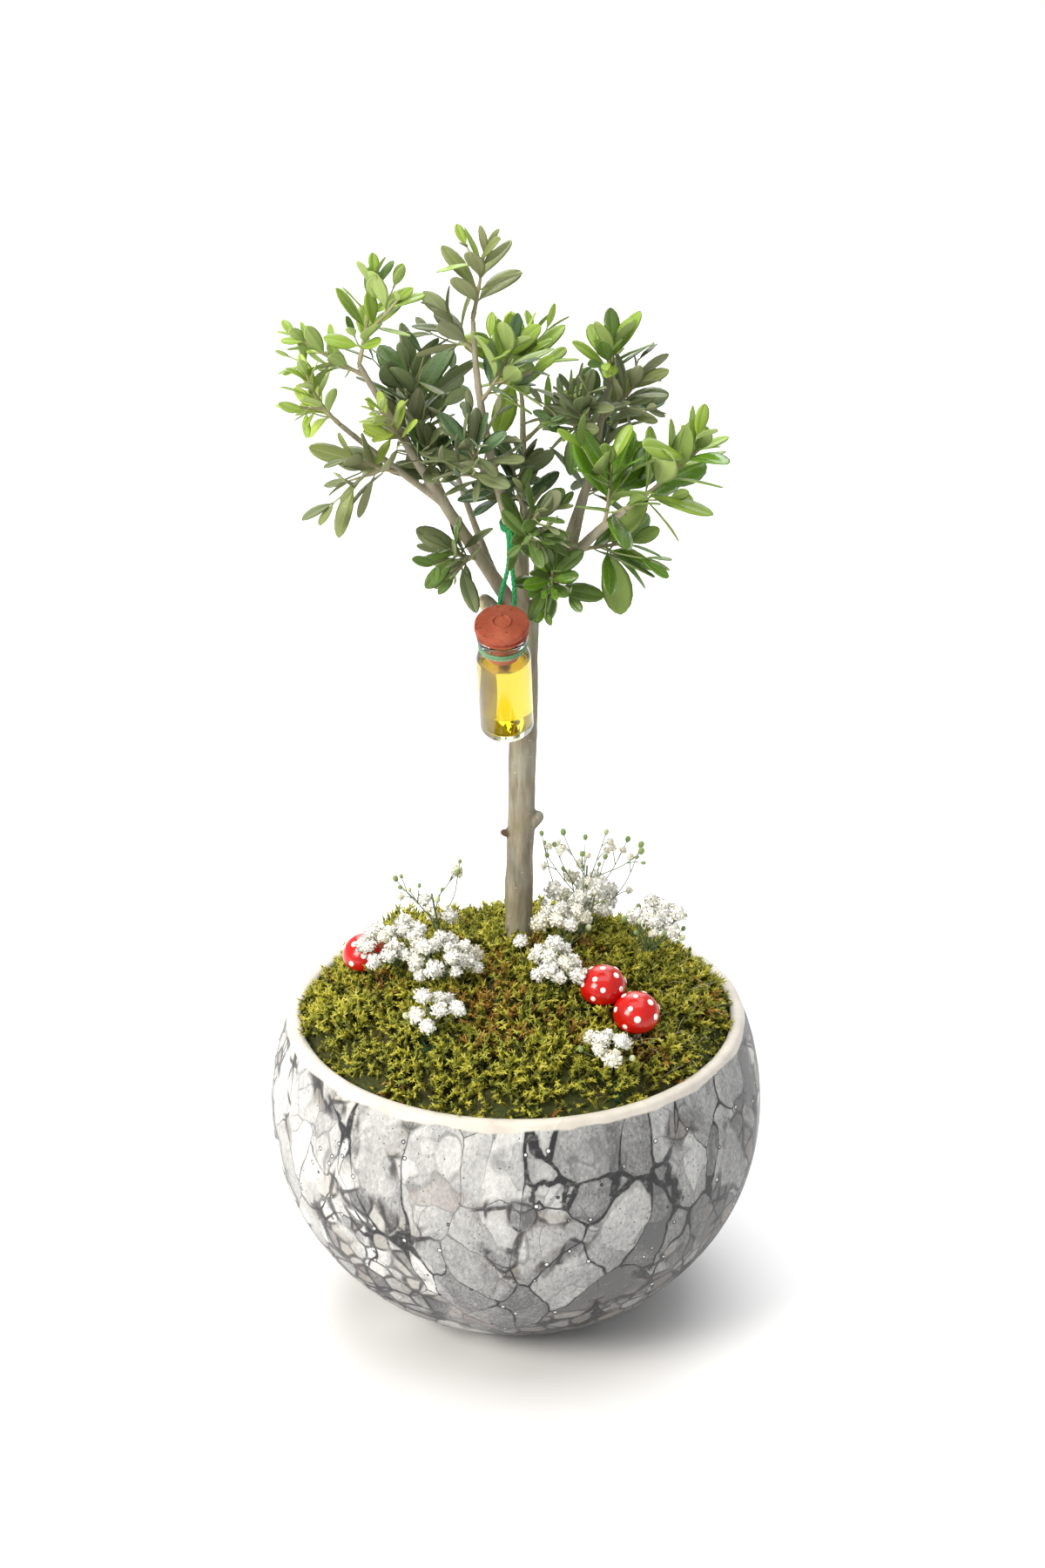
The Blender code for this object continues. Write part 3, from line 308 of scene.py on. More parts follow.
# ================================================================ mesh tools
class Heap:
    """Many shapes gathered into one mesh. A face is a row of four corners; a triangle repeats its last."""

    def __init__(self):
        self.points = []
        self.faces = []
        self.slots = []
        self.count = 0

    def add(self, points, faces, slots=0):
        points = np.asarray(points, dtype=float)
        faces = np.asarray(faces, dtype=int)
        self.points.append(points)
        self.faces.append(faces + self.count)
        self.slots.append(np.broadcast_to(slots, len(faces)))
        self.count += len(points)

    def mesh(self, name):
        points = np.concatenate(self.points)
        faces = np.concatenate(self.faces)
        keep = np.ones(faces.shape, dtype=bool)
        keep[:, 3] = faces[:, 2] != faces[:, 3]
        sizes = keep.sum(axis=1)
        made = bpy.data.meshes.new(name)
        made.vertices.add(len(points))
        made.vertices.foreach_set("co", points.ravel())
        made.loops.add(int(sizes.sum()))
        made.loops.foreach_set("vertex_index", faces[keep])
        made.polygons.add(len(sizes))
        made.polygons.foreach_set("loop_start", np.cumsum(sizes) - sizes)
        made.polygons.foreach_set("material_index", np.concatenate(self.slots))
        made.update(calc_edges=True)
        made.validate()
        return made

    def build(self, name, materials, smooth=True):
        """The heap as an object of the scene."""
        mesh = self.mesh(name)
        for material in materials:
            mesh.materials.append(material)
        mesh.polygons.foreach_set("use_smooth", [smooth] * len(mesh.polygons))
        obj = bpy.data.objects.new(name, mesh)
        bpy.context.scene.collection.objects.link(obj)
        return obj


def unit(vectors):
    return vectors / np.linalg.norm(vectors, axis=-1, keepdims=True)


def moved(points, matrix):
    """Points carried by a 4 x 4 matrix."""
    matrix = np.asarray(matrix)
    return points @ matrix[:3, :3].T + matrix[:3, 3]


def ring_faces(rows, sides):
    """Faces between rows of points that each close round."""
    grid = np.arange(rows * sides).reshape(rows, sides)
    turn = np.roll(grid, -1, axis=1)
    return np.stack([grid[:-1], turn[:-1], turn[1:], grid[1:]], axis=-1).reshape(-1, 4)


def sheet_faces(grid):
    """Faces of a grid of point numbers."""
    return np.stack([grid[:-1, :-1], grid[:-1, 1:], grid[1:, 1:], grid[1:, :-1]], axis=-1).reshape(-1, 4)


def closed_sheet(rows, columns):
    """Faces of a thin closed blade: its upper grid, then its under one, which shares the edge."""
    upper = np.arange(rows * columns).reshape(rows, columns)
    lower = upper.copy()
    lower[1:-1, 1:-1] = np.arange((rows - 2) * (columns - 2)).reshape(rows - 2, -1) + rows * columns
    return np.concatenate([sheet_faces(upper), sheet_faces(lower)[:, ::-1]])


def carried_frames(path):
    """Direction, side and upper vector at each point of a path, carried along it without a twist."""
    steps = unit(np.diff(path, axis=0))
    ahead = unit(np.vstack([steps[:1], steps[:-1] + steps[1:], steps[-1:]]))
    side = np.cross(ahead[0], (0.0, 0.0, 1.0) if abs(ahead[0][2]) < 0.9 else (0.0, 1.0, 0.0))
    sides = []
    for direction in ahead:
        side = unit(side - direction * side.dot(direction))
        sides.append(side)
    sides = np.array(sides)
    return ahead, sides, np.cross(ahead, sides)


def swept(path, radii, sides):
    """A tube's points and faces, closed by a point at each end. Radii are one a row, or one a corner."""
    path = np.asarray(path, dtype=float)
    radii = np.asarray(radii, dtype=float).reshape(len(path), -1)
    _, side, upper = carried_frames(path)
    angles = 2 * math.pi * np.arange(sides) / sides
    ring = np.cos(angles)[:, None] * side[:, None, :] + np.sin(angles)[:, None] * upper[:, None, :]
    points = (path[:, None, :] + radii[:, :, None] * ring).reshape(-1, 3)
    return closed_rings(points, path[0], path[-1], sides)


def closed_rings(points, first, last, sides):
    """Rows of points with a cap to a point at each end."""
    rows = len(points) // sides
    foot, tip = len(points), len(points) + 1
    start = np.arange(sides)
    turn = np.roll(start, -1)
    end = start + (rows - 1) * sides
    foot, tip = np.full(sides, foot), np.full(sides, tip)
    caps = [
        np.stack([turn, start, foot, foot], axis=-1),
        np.stack([end, np.roll(end, -1), tip, tip], axis=-1),
    ]
    faces = np.concatenate([ring_faces(rows, sides), *caps])
    return np.vstack([points, first, last]), faces


def turned(profile, steps):
    """A solid of revolution about Z. Its profile of (radius, z) starts and ends on the axis."""
    profile = np.asarray(profile, dtype=float)
    middle = profile[1:-1]
    angles = 2 * math.pi * np.arange(steps) / steps
    points = np.stack([middle[:, :1] * np.cos(angles), middle[:, :1] * np.sin(angles),
                       np.broadcast_to(middle[:, 1:], (len(middle), steps))], axis=-1).reshape(-1, 3)
    points, faces = closed_rings(points, (0.0, 0.0, profile[0][1]), (0.0, 0.0, profile[-1][1]), steps)
    r, z = profile.T
    if np.sum(r[:-1] * z[1:] - r[1:] * z[:-1]) < 0:  # it runs down its outside
        faces = flipped(faces)
    return points, faces


def flipped(faces):
    """The same faces seen from the other side. A triangle still repeats its last corner."""
    three = faces[:, 2] == faces[:, 3]
    return np.where(three[:, None], faces[:, [1, 0, 2, 2]], faces[:, ::-1])


def convex(points, faces):
    """The faces of a convex shape, all turned outwards."""
    points, faces = np.asarray(points, dtype=float), np.asarray(faces)
    a, b, c = (points[faces[:, i]] for i in range(3))
    outward = np.einsum("ij,ij->i", np.cross(b - a, c - a), a - points.mean(axis=0)) > 0
    return points, np.where(outward[:, None], faces, flipped(faces))


def rounded(corners, radius, pieces=4):
    """A profile whose inner corners are rounded off by short arcs."""
    points = [Vector(corners[0])]
    for before, corner, after in zip(corners, corners[1:], corners[2:]):
        corner = Vector(corner)
        to_before = Vector(before) - corner
        to_after = Vector(after) - corner
        cut = min(radius, 0.45 * to_before.length, 0.45 * to_after.length)
        start = corner + to_before.normalized() * cut
        end = corner + to_after.normalized() * cut
        for i in range(pieces + 1):
            t = i / pieces
            points.append(start * (1 - t) ** 2 + corner * (2 * t * (1 - t)) + end * t * t)
    points.append(Vector(corners[-1]))
    return [tuple(point) for point in points]


def smooth_path(points, pieces):
    """A Catmull-Rom curve through a path's points."""
    points = np.asarray([tuple(point) for point in points], dtype=float)
    ends = np.vstack([2 * points[0] - points[1], points, 2 * points[-1] - points[-2]])
    made = []
    for p0, p1, p2, p3 in zip(ends, ends[1:], ends[2:], ends[3:]):
        for i in range(pieces):
            t = i / pieces
            made.append(0.5 * (2 * p1 + (p2 - p0) * t + (2 * p0 - 5 * p1 + 4 * p2 - p3) * t * t
                               + (3 * p1 - p0 - 3 * p2 + p3) * t ** 3))
    made.append(points[-1])
    return np.array(made)


def tree_of(points, faces):
    """A search tree of a shape, for finding what touches it."""
    corners = [face[:3] if face[2] == face[3] else face for face in faces]
    return BVHTree.FromPolygons([tuple(point) for point in points], corners)


def node_tree(name):
    """A search tree of a CAD node."""
    mesh = NODES[name].data
    return BVHTree.FromPolygons([v.co for v in mesh.vertices], [tuple(p.vertices) for p in mesh.polygons])


def touches(tree, others):
    return any(tree.overlap(other) for other in others)


# ================================================================ paths
def heading(azimuth, lean):
    """Unit vector that leans from upright towards an azimuth, both in degrees."""
    a = math.radians(azimuth)
    b = math.radians(lean)
    return Vector((math.sin(b) * math.cos(a), math.sin(b) * math.sin(a), math.cos(b)))


def placed(point, axis):
    """The matrix that puts an upright piece's foot at a point and its Z along axis."""
    return Matrix.Translation(point) @ axis.to_track_quat("Z", "X").to_matrix().to_4x4()


def arc_path(foot, azimuth, lean, bend, length, pieces):
    """Points along a limb whose lean changes evenly from foot to tip."""
    path = [Vector(foot)]
    for i in range(pieces):
        path.append(path[-1] + heading(azimuth, lean + bend * (i + 0.5) / pieces) * (length / pieces))
    return path


def along(path, share):
    """The point a share of the way along a path, and the path's direction there."""
    place = share * (len(path) - 1)
    i = min(int(place), len(path) - 2)
    step = path[i + 1] - path[i]
    return path[i] + step * (place - i), step.normalized()


def distance_to_path(point, path):
    best = math.inf
    for start, end in zip(path, path[1:]):
        near, share = geometry.intersect_point_line(point, start, end)
        near = start if share < 0 else end if share > 1 else near
        best = min(best, (point - near).length)
    return best


def limb_path(limb, paths):
    foot = along(paths[limb.parent], limb.share)[0] if limb.parent else TRUNK_FOOT
    pieces = max(3, round(limb.length / LIMB_PIECE))
    return arc_path(foot, limb.azimuth, limb.lean, limb.bend, limb.length, pieces)


def limb_paths():
    """The path of every limb, by name."""
    paths = {"trunk": limb_path(TRUNK, {})}
    for name, limb in LIMBS.items():
        paths[name] = limb_path(limb, paths)
    return paths


def across(direction, angle):
    """The unit vector at right angles to direction, turned round it by angle degrees."""
    side = direction.cross(UP) if abs(direction.z) < 0.98 else direction.cross(Vector((0.0, 1.0, 0.0)))
    return Quaternion(direction, math.radians(angle)) @ side.normalized()


# ================================================================ materials
def colour(code):
    """A hex code's linear colour."""
    shades = [int(code[i:i + 2], 16) / 255 for i in (0, 2, 4)]
    return (*[s / 12.92 if s <= 0.04045 else ((s + 0.055) / 1.055) ** 2.4 for s in shades], 1.0)


class Paint:
    """A material and the nodes that feed its shader."""

    def __init__(self, name, **values):
        self.material = bpy.data.materials.new(name)
        self.material.use_nodes = True
        self.tree = self.material.node_tree
        self.shader = self.tree.nodes["Principled BSDF"]
        for key, value in values.items():
            self.shader.inputs[key.replace("_", " ")].default_value = value
        self.place = self.node("TexCoord").outputs["Object"]

    def node(self, kind, inputs=None, **settings):
        made = self.tree.nodes.new("ShaderNode" + kind)
        for key, value in settings.items():
            setattr(made, key, value)
        for key, value in (inputs or {}).items():
            self.feed(made.inputs[key], value)
        return made

    def feed(self, socket, value):
        if isinstance(value, bpy.types.NodeSocket):
            self.tree.links.new(value, socket)
        else:
            socket.default_value = value

    def scaled(self, x, y, z):
        """The place on the piece, stretched along its axes."""
        return self.node("Mapping", {"Vector": self.place, "Scale": (x, y, z)}).outputs[0]

    def noise(self, scale, detail=2.0, rough=0.5, place=None):
        inputs = {"Vector": place or self.place, "Scale": scale, "Detail": detail, "Roughness": rough}
        return self.node("TexNoise", inputs).outputs["Fac"]

    def cells(self, scale, feature="F1", place=None, random=1.0):
        inputs = {"Vector": place or self.place, "Scale": scale, "Randomness": random}
        return self.node("TexVoronoi", inputs, feature=feature)

    def math(self, operation, a, b=0.0, c=0.0):
        return self.node("Math", {0: a, 1: b, 2: c}, operation=operation).outputs[0]

    def plus(self, a, b):
        return self.math("ADD", a, b)

    def times(self, a, b):
        return self.math("MULTIPLY", a, b)

    def most(self, a, b):
        return self.math("MAXIMUM", a, b)

    def above(self, value, level):
        return self.math("GREATER_THAN", value, level)

    def below(self, value, level):
        return self.math("LESS_THAN", value, level)

    def inverse(self, value):
        return self.math("SUBTRACT", 1.0, value)

    def line(self, value, slope, start):
        return self.math("MULTIPLY_ADD", value, slope, start)

    def centred(self, value, reach):
        """A value from 0 to 1 carried to the range from -reach to reach."""
        return self.line(value, 2 * reach, -reach)

    def chance(self, cells, channel=0):
        """A random value that is the same all over each cell."""
        return self.node("SeparateColor", {0: cells.outputs["Color"]}).outputs[channel]

    def range(self, value, low, high, to_low=0.0, to_high=1.0):
        """A value carried from one range to another, smoothly and clamped."""
        inputs = {"Value": value, "From Min": low, "From Max": high, "To Min": to_low, "To Max": to_high}
        return self.node("MapRange", inputs, interpolation_type="SMOOTHSTEP").outputs["Result"]

    def mix(self, share, a, b):
        made = self.node("Mix", data_type="RGBA")
        self.feed(made.inputs[0], share)
        self.feed(made.inputs[6], a)
        self.feed(made.inputs[7], b)
        return made.outputs[2]

    def drifted(self, place, scale, detail, reach):
        """A place that noise has moved about by up to half of reach."""
        field = self.node("TexNoise", {"Vector": place, "Scale": scale, "Detail": detail}).outputs["Color"]
        shift = self.node("VectorMath", {0: field, 1: (0.5, 0.5, 0.5)}, operation="SUBTRACT").outputs[0]
        shift = self.node("VectorMath", {0: shift, "Scale": reach}, operation="SCALE").outputs[0]
        return self.node("VectorMath", {0: place, 1: shift}).outputs[0]

    def seams(self, scale, place):
        """Rounded cells: the nearest cell's node, and how far a point is from a seam between two."""
        near = self.cells(scale, "F1", place)
        second = self.cells(scale, "F2", place)
        return near, self.math("SUBTRACT", second.outputs["Distance"], near.outputs["Distance"])

    def ramp(self, value, *stops):
        """Colours by value. Stops are (place, hex code)."""
        made = self.node("ValToRGB", {"Fac": value})
        elements = made.color_ramp.elements
        for _ in stops[2:]:
            elements.new(0.5)
        for element, (place, code) in zip(elements, stops):
            element.position = place
            element.color = colour(code)
        return made.outputs["Color"]

    def base(self, value):
        self.feed(self.shader.inputs["Base Color"], value)
        return self

    def rough(self, value):
        self.feed(self.shader.inputs["Roughness"], value)
        return self

    def bump(self, height, distance, strength=1.0):
        made = self.node("Bump", {"Height": height, "Distance": distance, "Strength": strength})
        self.feed(self.shader.inputs["Normal"], made.outputs[0])
        return self


MARBLE_GREYS = ((0.0, "5E5E5F"), (0.25, "868686"), (0.5, "A9A9A8"), (0.75, "C6C6C4"), (1.0, "DADAD8"))
INK = "29292B"
INK_HALO = "6A6A6B"
FAINT_LINE = "5F5F60"
RING_INK, RING_INSIDE, SPECK = "333335", "E4E4E1", "3C3B3A"
ROSE_CELL, BROWN_CELL = "96827B", "8E857B"
CREAM = ((0.3, "C6BEB3"), (0.7, "DDD7CC"))
LARGE_CELLS = 44.0  # the scales are cells to a metre
CROWDED_CELLS = 96.0
OVER_CELLS = 62.0
BUBBLES = 240.0
SPECKS = 520.0
PAPER_EDGE = 0.0012  # the marbled paper ends about this far under the rim
PAPER_WAVE = 0.0050
BARE_INSIDE = (0.110, POT_RIM_RADIUS - 0.0022)  # bare clay above this level and inside this radius


def large_cells(paint, place):
    """Large cells: thin lines between them, and dark three-cornered pools where they meet."""
    near, vein = paint.seams(LARGE_CELLS, place)
    corner = paint.plus(near.outputs["Distance"], paint.centred(paint.noise(70.0, 3.0), 0.10))
    pool = paint.range(corner, 0.88, 0.92)
    weight = paint.noise(26.0, 2.0)
    thick = paint.range(weight, 0.36, 0.72, 0.010, 0.042)
    thick = paint.times(thick, paint.range(corner, 0.60, 0.88, 0.75, 2.6))
    thin_line = paint.inverse(paint.range(paint.math("DIVIDE", vein, thick), 0.6, 1.15))
    strong = paint.range(weight, 0.30, 0.55, 0.45, 1.0)
    return near, vein, thick, paint.most(pool, paint.times(thin_line, strong))


def crowded_cells(paint, axes, vein):
    """Small cells: their node, their lines, and where they are, low on the left and by some large veins."""
    near, seam = paint.seams(CROWDED_CELLS, paint.drifted(paint.place, 45.0, 2.0, 0.010))
    thin_line = paint.inverse(paint.range(seam, 0.05, 0.19))
    pool = paint.range(near.outputs["Distance"], 0.70, 0.80)
    lower_left = paint.line(axes.outputs["X"], -4.2, paint.line(axes.outputs["Z"], -10.0, 0.50))
    lower_left = paint.plus(lower_left, paint.centred(paint.noise(17.0), 0.9))
    beside = paint.times(paint.range(vein, 0.34, 0.16), paint.range(paint.noise(20.0), 0.50, 0.58))
    return near, paint.most(thin_line, pool), paint.most(paint.range(lower_left, 0.12, 0.30), beside)


def over_cells(paint, place):
    """Cells that lie over the others, which show as faint double lines."""
    near, seam = paint.seams(OVER_CELLS, paint.drifted(place, 30.0, 2.0, 0.040))
    thin_line = paint.inverse(paint.range(seam, 0.012, 0.045))
    return near, paint.times(thin_line, paint.range(paint.noise(33.0), 0.42, 0.60, 0.0, 0.55))


def spotted(paint, surface, vein):
    """The surface with ringed bubbles inside the cells, and dark specks."""
    bubble = paint.cells(BUBBLES)
    chosen = paint.times(paint.above(paint.chance(bubble), 0.66), paint.below(vein, 0.13))
    ring = paint.times(chosen, paint.range(bubble.outputs["Distance"], 0.27, 0.24))
    inside = paint.times(chosen, paint.range(bubble.outputs["Distance"], 0.18, 0.15))
    surface = paint.mix(ring, surface, colour(RING_INK))
    surface = paint.mix(inside, surface, colour(RING_INSIDE))
    speck = paint.cells(SPECKS)
    few = paint.above(paint.plus(paint.chance(speck), paint.noise(45.0)), 1.22)
    dot = paint.times(few, paint.range(speck.outputs["Distance"], 0.22, 0.14))
    return paint.mix(paint.times(dot, 0.8), surface, colour(SPECK))


def bare_clay(paint, axes):
    """Where the bowl is bare: over the paper's wavy edge, and inside."""
    edge = paint.line(paint.noise(55.0, 3.0), -PAPER_WAVE, POT_HEIGHT - PAPER_EDGE)
    bare = paint.range(paint.math("SUBTRACT", axes.outputs["Z"], edge), 0.0, 0.0009)
    across_x = paint.math("POWER", axes.outputs["X"], 2.0)
    across_y = paint.math("POWER", axes.outputs["Y"], 2.0)
    radius = paint.math("SQRT", paint.plus(across_x, across_y))
    level, reach = BARE_INSIDE
    return paint.most(bare, paint.times(paint.above(axes.outputs["Z"], level), paint.below(radius, reach)))


def pot_material():
    """Marbling: grey-white cells between charcoal veins, with bubbles, specks and a bare pale rim, and painted
    shade that darkens the greys towards the right and the bottom.
    """
    paint = Paint("marbled", Specular_IOR_Level=0.35)
    axes = paint.node("SeparateXYZ", {0: paint.place})
    place = paint.scaled(1.0, 1.0, 0.64)
    warped = paint.drifted(paint.drifted(place, 24.0, 2.0, 0.030), 160.0, 3.0, 0.0022)
    near, vein, thick, large = large_cells(paint, warped)
    small_near, small, dense = crowded_cells(paint, axes, vein)
    over_near, ghost = over_cells(paint, place)
    smudge = paint.noise(95.0, 8.0, 0.68, paint.scaled(1.0, 1.0, 0.5))
    fibre = paint.noise(760.0, 6.0, 0.80, paint.scaled(1.0, 1.0, 0.6))

    # the cells' greys, whiter on the left and darker on the right: partly the marbling's own tone, partly
    # painted shade as if lit from the left
    grey = paint.range(axes.outputs["X"], -0.095, 0.075, 0.76, 0.20)
    # painted shade: the greys darken towards the bottom of the bowl
    grey = paint.plus(grey, paint.line(axes.outputs["Z"], 3.0, -0.26))
    grey = paint.plus(grey, paint.centred(paint.chance(near), 0.25))
    grey = paint.plus(grey, paint.centred(paint.chance(over_near), 0.13))
    grey = paint.plus(grey, paint.times(dense, paint.line(paint.chance(small_near), 0.8, -0.45)))
    grey = paint.plus(grey, paint.centred(smudge, 0.45))
    grey = paint.plus(grey, paint.centred(fibre, 0.65))
    surface = paint.ramp(grey, *MARBLE_GREYS)
    rose = paint.above(paint.chance(over_near, 1), 0.965)
    surface = paint.mix(paint.times(rose, 0.26), surface, colour(ROSE_CELL))
    brown = paint.times(dense, paint.range(paint.chance(small_near, 1), 0.4, 0.9, 0.0, 0.5))
    surface = paint.mix(brown, surface, colour(BROWN_CELL))

    # the veins, with a grey halo, over the faint lines
    halo = paint.inverse(paint.range(paint.math("DIVIDE", vein, thick), 0.8, 2.6))
    halo = paint.most(halo, paint.range(near.outputs["Distance"], 0.74, 0.86))
    surface = paint.mix(paint.times(halo, 0.34), surface, colour(INK_HALO))
    surface = paint.mix(ghost, surface, colour(FAINT_LINE))
    stroke = paint.most(large, paint.times(paint.times(small, dense), 0.88))
    ragged = paint.range(paint.noise(330.0, 4.0, 0.7), 0.25, 0.52, 0.55, 1.0)
    surface = paint.mix(paint.times(stroke, ragged), surface, colour(INK))
    surface = spotted(paint, surface, vein)

    cream = paint.ramp(paint.noise(90.0, 5.0, 0.6), *CREAM)
    paint.base(paint.mix(bare_clay(paint, axes), surface, cream))
    paint.rough(paint.range(smudge, 0.3, 0.7, 0.38, 0.56))
    return paint.bump(paint.line(stroke, 0.4, paint.times(fibre, 0.5)), 0.0003, 0.7).material


def soil_material():
    paint = Paint("soil", Roughness=0.95)
    grit = paint.noise(500.0, 6.0, 0.7)
    paint.base(paint.ramp(grit, (0.3, "1E1712"), (0.6, "3A2C22"), (0.8, "5A4636")))
    return paint.bump(grit, 0.0008).material


def moss_ground_material():
    paint = Paint("moss_ground", Roughness=0.95)
    grain = paint.noise(620.0, 6.0, 0.7)
    patch = paint.noise(55.0, 2.0)
    green = paint.ramp(grain, (0.3, "2A2E12"), (0.6, "4A5020"), (0.8, "6E7430"))
    rust = paint.ramp(grain, (0.3, "2C2012"), (0.6, "5A4424"), (0.8, "7D6036"))
    paint.base(paint.mix(paint.range(patch, 0.50, 0.66, 0.0, 0.5), green, rust))
    return paint.bump(grain, 0.0009).material


def plain_material(name, code, roughness, specular=0.4, grain=900.0, depth=0.00006):
    """One plain colour with a fine grain in its relief and gloss."""
    paint = Paint(name, Base_Color=colour(code), Specular_IOR_Level=specular)
    field = paint.noise(grain, 3.0)
    paint.rough(paint.range(field, 0.3, 0.7, roughness - 0.07, roughness + 0.07))
    return paint.bump(field, depth).material


SCARS = (  # middle and the distances between which it fades, colour and strength
    (((0.0088, 0.0060, 0.2968), 0.0026, 0.0046), "2E241B", 0.85),
    (((-0.0049, 0.0106, 0.2002), 0.0016, 0.0036), "4A3222", 0.80),
    (((-0.0135, 0.0055, 0.2985), 0.0030, 0.0042), "C9B98F", 0.80),
)
PALER_BOUGHS = (0.27, 0.33)  # levels between which the bark turns paler


def bark_material():
    """Smooth olive-grey bark with streaks along the limb, pale lenticels and the scars of pruning."""
    paint = Paint("bark", Specular_IOR_Level=0.25)
    streak = paint.noise(260.0, 5.0, 0.62, paint.scaled(1.0, 1.0, 0.16))
    blotch = paint.noise(60.0, 3.0, 0.55)
    body = paint.ramp(streak, (0.25, "62594A"), (0.45, "857B68"), (0.62, "9A917D"), (0.8, "B0A894"))
    grey = paint.ramp(streak, (0.25, "6C685A"), (0.5, "908C7C"), (0.8, "ACA998"))
    body = paint.mix(paint.range(blotch, 0.4, 0.62), body, grey)
    green = paint.range(paint.noise(34.0, 3.0), 0.52, 0.66, 0.0, 0.42)
    body = paint.mix(green, body, colour("75774C"))
    pores = paint.cells(330.0, "F1", paint.scaled(1.0, 1.0, 1.9))
    pore = paint.range(pores.outputs["Distance"], 0.34, 0.20)
    pore = paint.times(paint.above(paint.chance(pores), 0.86), pore)
    body = paint.mix(paint.times(pore, 0.45), body, colour("C4BBAC"))
    crack = paint.range(paint.noise(520.0, 4.0, 0.7, paint.scaled(1.0, 1.0, 0.08)), 0.36, 0.28)
    body = paint.mix(paint.times(crack, 0.55), body, colour("453B31"))
    ragged = paint.centred(paint.noise(420.0, 3.0), 0.0015)
    for (place, near, far), code, strength in SCARS:
        away = paint.node("VectorMath", {0: paint.place, 1: place}, operation="DISTANCE").outputs["Value"]
        here = paint.range(paint.plus(away, ragged), far, near, 0.0, strength)
        body = paint.mix(here, body, colour(code))
    height = paint.node("SeparateXYZ", {0: paint.place}).outputs["Z"]
    paint.base(paint.mix(paint.range(height, *PALER_BOUGHS, 0.0, 0.38), body, colour("BDB49E")))
    paint.rough(paint.range(streak, 0.3, 0.7, 0.62, 0.82))
    relief = paint.plus(streak, paint.line(pore, 0.5, paint.times(crack, -0.6)))
    return paint.bump(relief, 0.0005, 0.8).material


def terracotta_material(name, *stops):
    """Fired clay with darker grain and small pits."""
    paint = Paint(name, Specular_IOR_Level=0.3)
    grain = paint.noise(800.0, 5.0, 0.65)
    body = paint.ramp(paint.noise(120.0, 3.0), *stops)
    body = paint.mix(paint.range(grain, 0.5, 0.75, 0.0, 0.5), body, colour("763220"))
    pits = paint.cells(620.0)
    depth = paint.range(pits.outputs["Distance"], 0.42, 0.22, 0.0, 0.7)
    pit = paint.times(paint.above(paint.chance(pits), 0.88), depth)
    paint.base(paint.mix(pit, body, colour("5E2A1C")))
    paint.rough(paint.range(grain, 0.3, 0.7, 0.55, 0.8))
    return paint.bump(grain, 0.00018).material


def clear_material(name, code, roughness, ior):
    """A clear material: glass or oil."""
    paint = Paint(name, Base_Color=colour(code), Roughness=roughness, IOR=ior, Transmission_Weight=1.0)
    return paint.material


def thread_material(name, low, middle, high):
    paint = Paint(name, Roughness=0.75)
    fibre = paint.noise(2400.0, 3.0)
    paint.base(paint.ramp(fibre, (0.3, low), (0.55, middle), (0.8, high)))
    return paint.bump(fibre, 0.00012).material


def petal_material(name, code):
    """White petals with a faint grain."""
    paint = Paint(name, Base_Color=colour(code), Specular_IOR_Level=0.2)
    field = paint.noise(1500.0, 3.0)
    paint.rough(paint.range(field, 0.3, 0.7, 0.55, 0.70))
    return paint.bump(field, 0.00005).material


def cap_material():
    paint = Paint("toadstool_red", Coat_Weight=0.45, Coat_Roughness=0.06, Specular_IOR_Level=0.3)
    cloud = paint.noise(160.0, 3.0)
    paint.base(paint.ramp(cloud, (0.3, "B50D08"), (0.7, "CE160D")))
    paint.rough(paint.range(cloud, 0.3, 0.7, 0.20, 0.32))
    return paint.bump(cloud, 0.0001, 0.5).material


# ================================================================ bowl, soil and moss
def bowl_radius(z, inset=0.0):
    """Radius of the bowl's wall at a height: two quarter ellipses that meet at the widest."""
    edge = POT_RIM_RADIUS if z > POT_WIDEST_Z else POT_FOOT_RADIUS
    rise = POT_HEIGHT - POT_WIDEST_Z if z > POT_WIDEST_Z else POT_WIDEST_Z
    semi = rise / math.sqrt(1 - (edge / POT_RADIUS) ** 2)
    share = (z - POT_WIDEST_Z) / (semi - inset)
    return (POT_RADIUS - inset) * math.sqrt(max(0.0, 1 - share * share))


def even_levels(bottom, top, pieces):
    """Heights down the wall that are evenly spaced on its curve."""
    return [top + (bottom - top) * (1 - math.cos(math.pi * i / pieces)) / 2 for i in range(pieces + 1)]


def make_pot(materials):
    """The bowl: a turned wall with a rounded lip, a little out of true as a hand-made one is."""
    outer = [(bowl_radius(z), z) for z in even_levels(0.0004, POT_HEIGHT - LIP_ROUND, 44)]
    inner = [(bowl_radius(z, WALL), z) for z in even_levels(FLOOR_Z, POT_HEIGHT - LIP_ROUND, 30)]
    lip = []
    middle = (outer[0][0] + inner[0][0]) / 2
    half = (outer[0][0] - inner[0][0]) / 2
    for i in range(1, 8):
        angle = math.pi * i / 8
        lip.append((middle - half * math.cos(angle), POT_HEIGHT - LIP_ROUND + LIP_ROUND * math.sin(angle)))
    foot = [(POT_FOOT_RADIUS - 0.0006, 0.0), (0.036, 0.0), (0.034, 0.0006), (0.0, 0.0006)]
    profile = [(0.0, FLOOR_Z), *reversed(inner), *lip, *outer, *foot]
    points, faces = turned(profile, BOWL_STEPS)
    for point in points:
        radius = math.hypot(point[0], point[1])
        if radius > 0.01:
            swell = 0.0004 * noise.noise(Vector(point) / 0.045)
            point[:2] *= 1 + swell / radius
            point[2] += 0.0005 * noise.noise(Vector(point) / 0.06) * (point[2] / POT_HEIGHT) ** 3
    heap = Heap()
    heap.add(points, faces)
    pot = heap.build("pot_bowl", [materials["pot"]])
    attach(pot, "root")
    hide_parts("pot")


